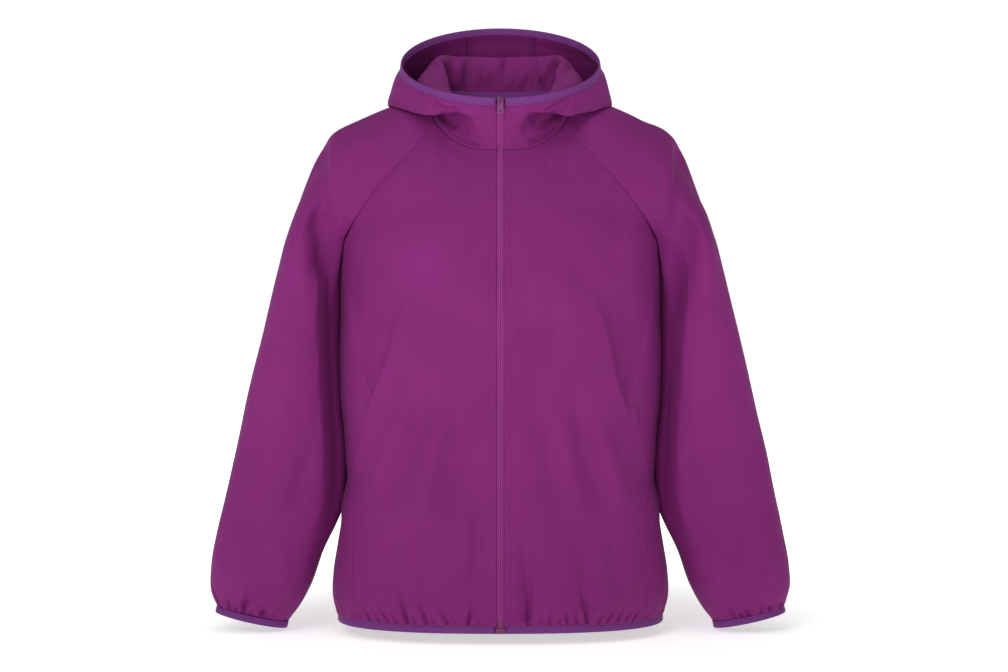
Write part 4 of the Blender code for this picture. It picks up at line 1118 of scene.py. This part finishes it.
def bead_tree():
    """Geometry Nodes: beads of one size along the edges of a mesh, one for each step. Returns
    the tree and the identifiers of its inputs."""
    tree = bpy.data.node_groups.new("beads_along_a_line", "GeometryNodeTree")
    inputs = {}
    for name, kind in (("Line", "NodeSocketGeometry"), ("Step", "NodeSocketFloat"),
                       ("Bead size", "NodeSocketVector"), ("Finish", "NodeSocketMaterial")):
        inputs[name] = tree.interface.new_socket(name, in_out="INPUT", socket_type=kind)
    tree.interface.new_socket("Beads", in_out="OUTPUT", socket_type="NodeSocketGeometry")
    inputs["Step"].default_value = 0.003
    given = tree.nodes.new("NodeGroupInput")
    curve = add_node(tree, "GeometryNodeMeshToCurve", {"Mesh": (given, "Line")})
    spaced = tree.nodes.new("GeometryNodeResampleCurve")
    spaced.mode = "LENGTH"
    feed(tree, spaced, {"Curve": (curve, "Curve"), "Length": (given, "Step")})
    tangent = tree.nodes.new("GeometryNodeInputTangent")
    turned = add_node(tree, "FunctionNodeAlignRotationToVector", {"Vector": (tangent, "Tangent")})
    turned.axis = "Z"
    bead = add_node(tree, "GeometryNodeMeshUVSphere", {"Segments": 5, "Rings": 3, "Radius": 0.5})
    node = add_node(tree, "GeometryNodeInstanceOnPoints", {
        "Points": (spaced, "Curve"), "Instance": (bead, "Mesh"),
        "Rotation": (turned, "Rotation"), "Scale": (given, "Bead size")})
    for kind in ("GeometryNodeRealizeInstances", "GeometryNodeSetShadeSmooth",
                 "GeometryNodeSetMaterial"):
        node = add_node(tree, kind, {"Geometry": (node, 0)})
    feed(tree, node, {"Material": (given, "Finish")})
    add_node(tree, "NodeGroupOutput", {"Beads": (node, "Geometry")})
    return tree, {name: socket.identifier for name, socket in inputs.items()}


BEADS, BEAD_INPUTS = bead_tree()


def mesh_of(holder):
    """The mesh that an object comes to. The object itself is removed."""
    ready = holder.evaluated_get(bpy.context.evaluated_depsgraph_get())
    mesh = bpy.data.meshes.new_from_object(ready)
    bpy.data.objects.remove(holder, do_unlink=True)
    return mesh


def beads(name, lines, step, size, finish):
    """A row of beads along each of the lines, as one plain mesh."""
    guide = bpy.data.meshes.new(name + "_guide")
    points = [tuple(point) for line in lines for point in line]
    edges, first = [], 0
    for line in lines:
        edges += [(first + i, first + i + 1) for i in range(len(line) - 1)]
        first += len(line)
    guide.from_pydata(points, edges, [])
    holder = put(name + "_guide", guide)
    rows = holder.modifiers.new("beads", "NODES")
    rows.node_group = BEADS
    for key, value in (("Step", step), ("Bead size", size), ("Finish", finish)):
        rows[BEAD_INPUTS[key]] = value
    return put(name, mesh_of(holder))


SPOTS = (700, 3)              # unevenness of moulded stuff: scale and detail


def moulded_material(name, colour, roughness, metallic=0.0, grain=0.08):
    """Moulded plastic or coated metal, with a little unevenness in its gloss and surface."""
    finish, tree, shader, place = new_finish(name)
    spots = noise_node(tree, (place, "Object"), *SPOTS)
    gloss = add_node(tree, "ShaderNodeMapRange", {
        "Value": spots, "To Min": roughness - grain, "To Max": roughness + grain})
    bumped = add_node(tree, "ShaderNodeBump", {
        "Strength": 0.15, "Distance": 0.0001, "Height": spots})
    tint = ramp_node(tree, spots, [c * 0.9 for c in colour], [c * 1.1 for c in colour])
    feed(tree, shader, {"Base Color": tint, "Roughness": (gloss, 0), "Normal": (bumped, 0),
                        "Metallic": metallic})
    return finish


bare_finish = weave_material("woven_tape", (0.330, 0.034, 0.255), 0.65, 0.0008, 0.08, 0.4, 0.04)
coil_finish = moulded_material("zip_plastic", (0.400, 0.046, 0.300), 0.45)
end_finish = moulded_material("zip_ends", (0.160, 0.014, 0.105), 0.45)
metal_finish = moulded_material("slider_metal", (0.115, 0.026, 0.100), 0.34, 0.45)
# The bridge is bare metal. Its pale, nearly white colour with little metallic also stands in for
# its glint: a painted highlight.
bare_metal_painted_highlight_finish = moulded_material("bare_metal_painted_highlight", (0.86, 0.83, 0.86), 0.24, 0.3, 0.04)
tab_finish = moulded_material("tab_coating", (0.200, 0.044, 0.175), 0.34, 0.4)

COIL_PITCH = 0.0014
COIL_TURN = (0.0031, 0.0019, 0.00135)
COIL_ROW = 0.0013             # from the middle to the middle of each row of coil
ZIP_TAPE = dict(xs=np.array([0, .0020, .0036, .0050, .0070, .0100, .0165]), thick=.0006,
                behind=.0010, step_back=.0012, top=-.0150, end=-.6985)
centre_front = [[(0, *ring["front"])] for ring in YOKE]
centre_front += [[(0, -ring["front"], ring["height"])] for ring in BODY]
centre_front = through_rows(centre_front, body_places)[:, 0]
collar_front = hood_sheet[:, 0]
zip_path = np.concatenate([collar_front[::-1], centre_front[1:]])
chain_low, chain_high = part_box("zip_chain")
zip_path = zip_path[(zip_path[:, 2] > chain_low[2]) & (zip_path[:, 2] < chain_high[2])]
coil_lines = [zip_path + (COIL_ROW * side, 0, COIL_PITCH / 2 * (side > 0)) for side in (1, -1)]
coil = beads("zip_chain", coil_lines, COIL_PITCH, COIL_TURN, coil_finish)
dress(coil, "zip_chain")
tape_line = np.vstack([collar_front[::-1], centre_front[1:],
                       (0, centre_front[-1, 1], ZIP_TAPE["end"])])
tape_line = tape_line[tape_line[:, 2] < ZIP_TAPE["top"]]
for side, name in SIDES:
    xs = ZIP_TAPE["xs"]
    grid = np.stack([tape_line + (x * side, ZIP_TAPE["behind"], 0) for x in xs], axis=1)
    grid[:, :, 1] += ZIP_TAPE["step_back"] * smooth_step((xs - .0040) / .003)
    piece = cloth_object("zip_tape_" + name, [grid], bare_finish, ZIP_TAPE["thick"])
    dress(piece, "zip_tape_" + name)
for node in ("zip_box", "zip_pin"):
    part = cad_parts[node]
    part.data.materials.clear()
    part.data.materials.append(end_finish)

SHARP_ANGLE = 35              # edges of the metal that turn more than this look sharp
STRIP_SECTION = ((-1, -.7), (-.85, -1), (.85, -1), (1, -.7), (1, .7), (.85, 1), (-.85, 1),
                 (-1, .7))    # of a strip's half width and half thickness
SLIDER = dict(width=.0086, foot=.0068, top=-.0062, bottom=-.0176, plate=.0013, gap=.0016,
              corner=.0022, edge=.0005, post=.0012, post_tall=.0030, post_corner=.0008)
BRIDGE = dict(top=-.0068, bottom=-.0122, reach=.0038, strip=.0009, width=.0019)
TAB = dict(top=.0006, length=.0192, width_top=.0066, width_end=.0086, window=(.0028, .0056),
           window_corner=.0005, hole=.0013, hole_tall=.0032, hole_up=.0034, thick=.0010,
           corner=.0016, rim=.0009, panel_top=-.0071)


def rounded(half_top, half_foot, top, bottom, radius):
    """A round-cornered outline, wider or narrower at its foot."""
    centres = [(-half_top + radius, top - radius), (half_top - radius, top - radius),
               (half_foot - radius, bottom + radius), (-half_foot + radius, bottom + radius)]
    outline = []
    for index, (x, z) in enumerate(centres):
        for step in range(9):
            angle = math.radians(180 - 90 * index - 90 * step / 8)
            outline.append((x + radius * math.cos(angle), z + radius * math.sin(angle)))
    return outline


def plate_mesh(outlines, thick, edge):
    """A flat plate standing in the XZ plane, with rounded edges and any holes cut out."""
    curve = bpy.data.curves.new("plate", "CURVE")
    curve.dimensions = "2D"
    curve.fill_mode = "BOTH"
    curve.extrude = thick / 2 - edge
    curve.bevel_depth = edge
    curve.bevel_resolution = 3
    for outline in outlines:
        spline = curve.splines.new("POLY")
        spline.points.add(len(outline) - 1)
        for point, (x, z) in zip(spline.points, outline):
            point.co = (x, z, 0, 1)
        spline.use_cyclic_u = True
    bm = bmesh.new()
    bm.from_mesh(mesh_of(put("plate", curve)))
    bmesh.ops.remove_doubles(bm, verts=bm.verts, dist=1e-6)
    for vert in bm.verts:
        vert.co = (vert.co.x, -vert.co.z, vert.co.y)
    bmesh.ops.recalc_face_normals(bm, faces=bm.faces)
    return mesh_from("plate", bm)


def joined(name, pieces, finishes):
    """One object from meshes, the places they go to and the numbers of their finishes."""
    bm = bmesh.new()
    for mesh, place, number in pieces:
        for vert in mesh.vertices:
            vert.co += Vector(place)
        for face in mesh.polygons:
            face.material_index = number
        bm.from_mesh(mesh)
    mesh = mesh_from(name, bm)
    mesh.materials.clear()
    for finish in finishes:
        mesh.materials.append(finish)
    mesh.shade_smooth()
    mesh.set_sharp_from_angle(angle=math.radians(SHARP_ANGLE))
    return put(name, mesh)


def strip_mesh(path, width, thick):
    """A bent metal strip of one width along X, following a path in the YZ plane."""
    forward = unit(np.gradient(path, axis=0)) * thick / 2
    bm = bmesh.new()
    rings = []
    for (y, z), (ahead_y, ahead_z) in zip(path, forward):
        rings.append([bm.verts.new((x * width / 2, y + ahead_z * d, z - ahead_y * d))
                      for x, d in STRIP_SECTION])
    for one, two in zip(rings, rings[1:]):
        for i in range(8):
            bm.faces.new((one[i], one[(i + 1) % 8], two[(i + 1) % 8], two[i]))
    bm.faces.new(rings[0][::-1])
    bm.faces.new(rings[-1])
    bmesh.ops.recalc_face_normals(bm, faces=bm.faces)
    return mesh_from("strip", bm)


slider_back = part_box("zip_slider")[1][1]
plate = SLIDER["plate"]
shield = rounded(SLIDER["width"] / 2, SLIDER["foot"] / 2, SLIDER["top"], SLIDER["bottom"],
                 SLIDER["corner"])
post = rounded(SLIDER["post"], SLIDER["post"], SLIDER["top"], SLIDER["top"] - SLIDER["post_tall"],
               SLIDER["post_corner"])
face = slider_back - 2 * plate - SLIDER["gap"]
# The bridge comes out of the front plate, turns down over the tab's slot and goes back in.
arch = [(face + .0006, BRIDGE["top"] - .0004), (face - .0016, BRIDGE["top"] - .0002),
        (face - BRIDGE["reach"] + .0009, BRIDGE["top"] - .0005),
        (face - BRIDGE["reach"] + .0005, (BRIDGE["top"] + BRIDGE["bottom"]) / 2),
        (face - BRIDGE["reach"] + .0009, BRIDGE["bottom"] + .0005),
        (face - .0016, BRIDGE["bottom"] + .0002), (face + .0006, BRIDGE["bottom"] + .0004)]
arch = through_rows(np.array([(0, y, z) for y, z in arch])[:, None], row_places(*[5] * 6))[:, 0, 1:]
slider = joined("zip_slider", [
    (plate_mesh([shield], plate, SLIDER["edge"]), (0, slider_back - plate / 2, 0), 0),
    (plate_mesh([shield], plate, SLIDER["edge"]), (0, face + plate / 2, 0), 0),
    (plate_mesh([post], SLIDER["gap"] + plate, .0001), (0, (slider_back + face) / 2, 0), 0),
    # The bridge: bare metal, with a painted highlight in its pale colour.
    (strip_mesh(arch, BRIDGE["width"], BRIDGE["strip"]), (0, 0, 0), 1),
], [metal_finish, bare_metal_painted_highlight_finish])
dress(slider, "zip_slider")

tab_low, tab_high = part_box("pull_tab")
tab_y = (tab_low[1] + tab_high[1]) / 2
axis_z = tab_high[2] - TAB["top"]
foot = TAB["top"] - TAB["length"]
half, tall = TAB["window"][0] / 2, TAB["window"][1]
window = rounded(half, half, -TAB["top"], -TAB["top"] - tall, TAB["window_corner"])
hole_z = foot + TAB["hole_up"]
hole = rounded(TAB["hole"], TAB["hole"], hole_z + TAB["hole_tall"] / 2,
               hole_z - TAB["hole_tall"] / 2, TAB["hole"] * .99)
outline = rounded(TAB["width_top"] / 2, TAB["width_end"] / 2, TAB["top"], foot, TAB["corner"])
inner = rounded(TAB["width_top"] / 2 - TAB["rim"], TAB["width_end"] / 2 - TAB["rim"],
                TAB["panel_top"], foot + TAB["rim"], TAB["corner"] - .0006)
tab = joined("pull_tab", [
    (plate_mesh([outline, window, hole], TAB["thick"] * .5, .0001), (0, tab_y, axis_z), 0),
    (plate_mesh([outline, window, inner], TAB["thick"], .0002), (0, tab_y, axis_z), 0),
], [tab_finish])
dress(tab, "pull_tab", body="pull_tab")


# ---------------------------------------------------------------- stitching
# Thread of the cloth's own colour, darker on the hood: one row beside the zip, two along the
# neck seam and along each hood seam, one along every binding and beside each pocket, and a
# bar tack at both ends of a pocket.

THREAD = (0.0006, 0.0006, 0.0027)     # size of one stitch, its length last
STITCH_STEP = 0.0036
SEAM_THREAD = (0.0016, 0.0014, 0.0028)
SEAM_STEP = 0.0046
TACK_THREAD = (0.0013, 0.0013, 0.0011)
TACK_STEP = 0.0009
TACK_LENGTH = 0.0090
NECK_STITCH = (.0028, .0068)  # how far below the neck seam its two rows run
POCKET_STITCH = 0.0060        # how far from the pocket opening its row runs
SEAM_STITCH = 0.0040          # how far from a hood seam each of its two rows runs
ON_CLOTH = CLOTH * 0.55       # from the middle of the cloth to the middle of the thread
ON_TAPE = TAPE_LEG * .65 + TAPE_WALL / 2     # the same on a binding, where it is dented
thread_finish = moulded_material("thread", (0.200, 0.020, 0.155), 0.7)
dark_finish = moulded_material("seam_thread", (0.085, 0.008, 0.070), 0.7)


def beside_edge(panel, distance, from_last=False, inside=False):
    """A line over a panel, row by row, at a distance from its first or its last column."""
    step = -1 if from_last else 1
    points = panel["points"][:, ::step]
    on_face = points + panel["out"][:, ::step] * ON_CLOTH * (-1 if inside else 1)
    return np.array([line_at([distance], known, row)[0]
                     for known, row in zip(spans(points)[0], on_face)])


def below_edge(panel, distance):
    """A line over a panel, column by column, at a distance from its top row."""
    turned = {key: grid.transpose(1, 0, 2) for key, grid in panel.items()}
    return beside_edge(turned, distance)


stitch_lines, seam_lines = [], []
for name, side in (("left", -1), ("right", 1)):
    stitch_lines.append(beside_edge(fronts[name], TURNED_IN))
    stitch_lines += [below_edge(fronts[name], distance) for distance in NECK_STITCH]
    pocket_edge = beside_edge(fronts[name], POCKET_STITCH, from_last=True)
    pocket_edge = pocket_edge[(pocket_edge[:, 2] < POCKET[0]) & (pocket_edge[:, 2] > POCKET[1])]
    stitch_lines.append(pocket_edge)
    for panel, last in ((hood[name], True), (hood["centre"], side < 0)):
        seam_lines += [beside_edge(panel, SEAM_STITCH, last, inside) for inside in (True, False)]


def pocket_tack(panel, height):
    """A short bar across a front beside its side seam, at a height."""
    row = int(np.argmin(np.abs(panel["points"][:, -1, 2] - height)))
    across = spans(panel["points"])[0][row]
    places = across[-1] - np.linspace(.001, TACK_LENGTH, 12)
    return line_at(places, across, panel["points"][row] + panel["out"][row] * ON_CLOTH)


tack_lines = [pocket_tack(fronts[name], height) for name in ("left", "right") for height in POCKET]
for path, ups, width, fold in (
        (rim_path, rim_ups, HOOD_BINDING, 1), (hem_path, hem_ups, HEM_BINDING, -1),
        (*cuff_paths["left"], CUFF_BINDING, -1), (*cuff_paths["right"], CUFF_BINDING, -1)):
    outs = tape_outs(path, ups)
    on_stitch = path + ups * (TAPE_STITCH - width / 2) * fold
    stitch_lines += [(on_stitch + outs * ON_TAPE * face)[1:-1] for face in (1, -1)]
for name, lines, step, size, finish in (
        ("stitching", stitch_lines, STITCH_STEP, THREAD, thread_finish),
        ("hood_seam_stitching", seam_lines, SEAM_STEP, SEAM_THREAD, dark_finish),
        ("pocket_tacks", tack_lines, TACK_STEP, TACK_THREAD, thread_finish)):
    dress(beads(name, lines, step, size, finish), None)
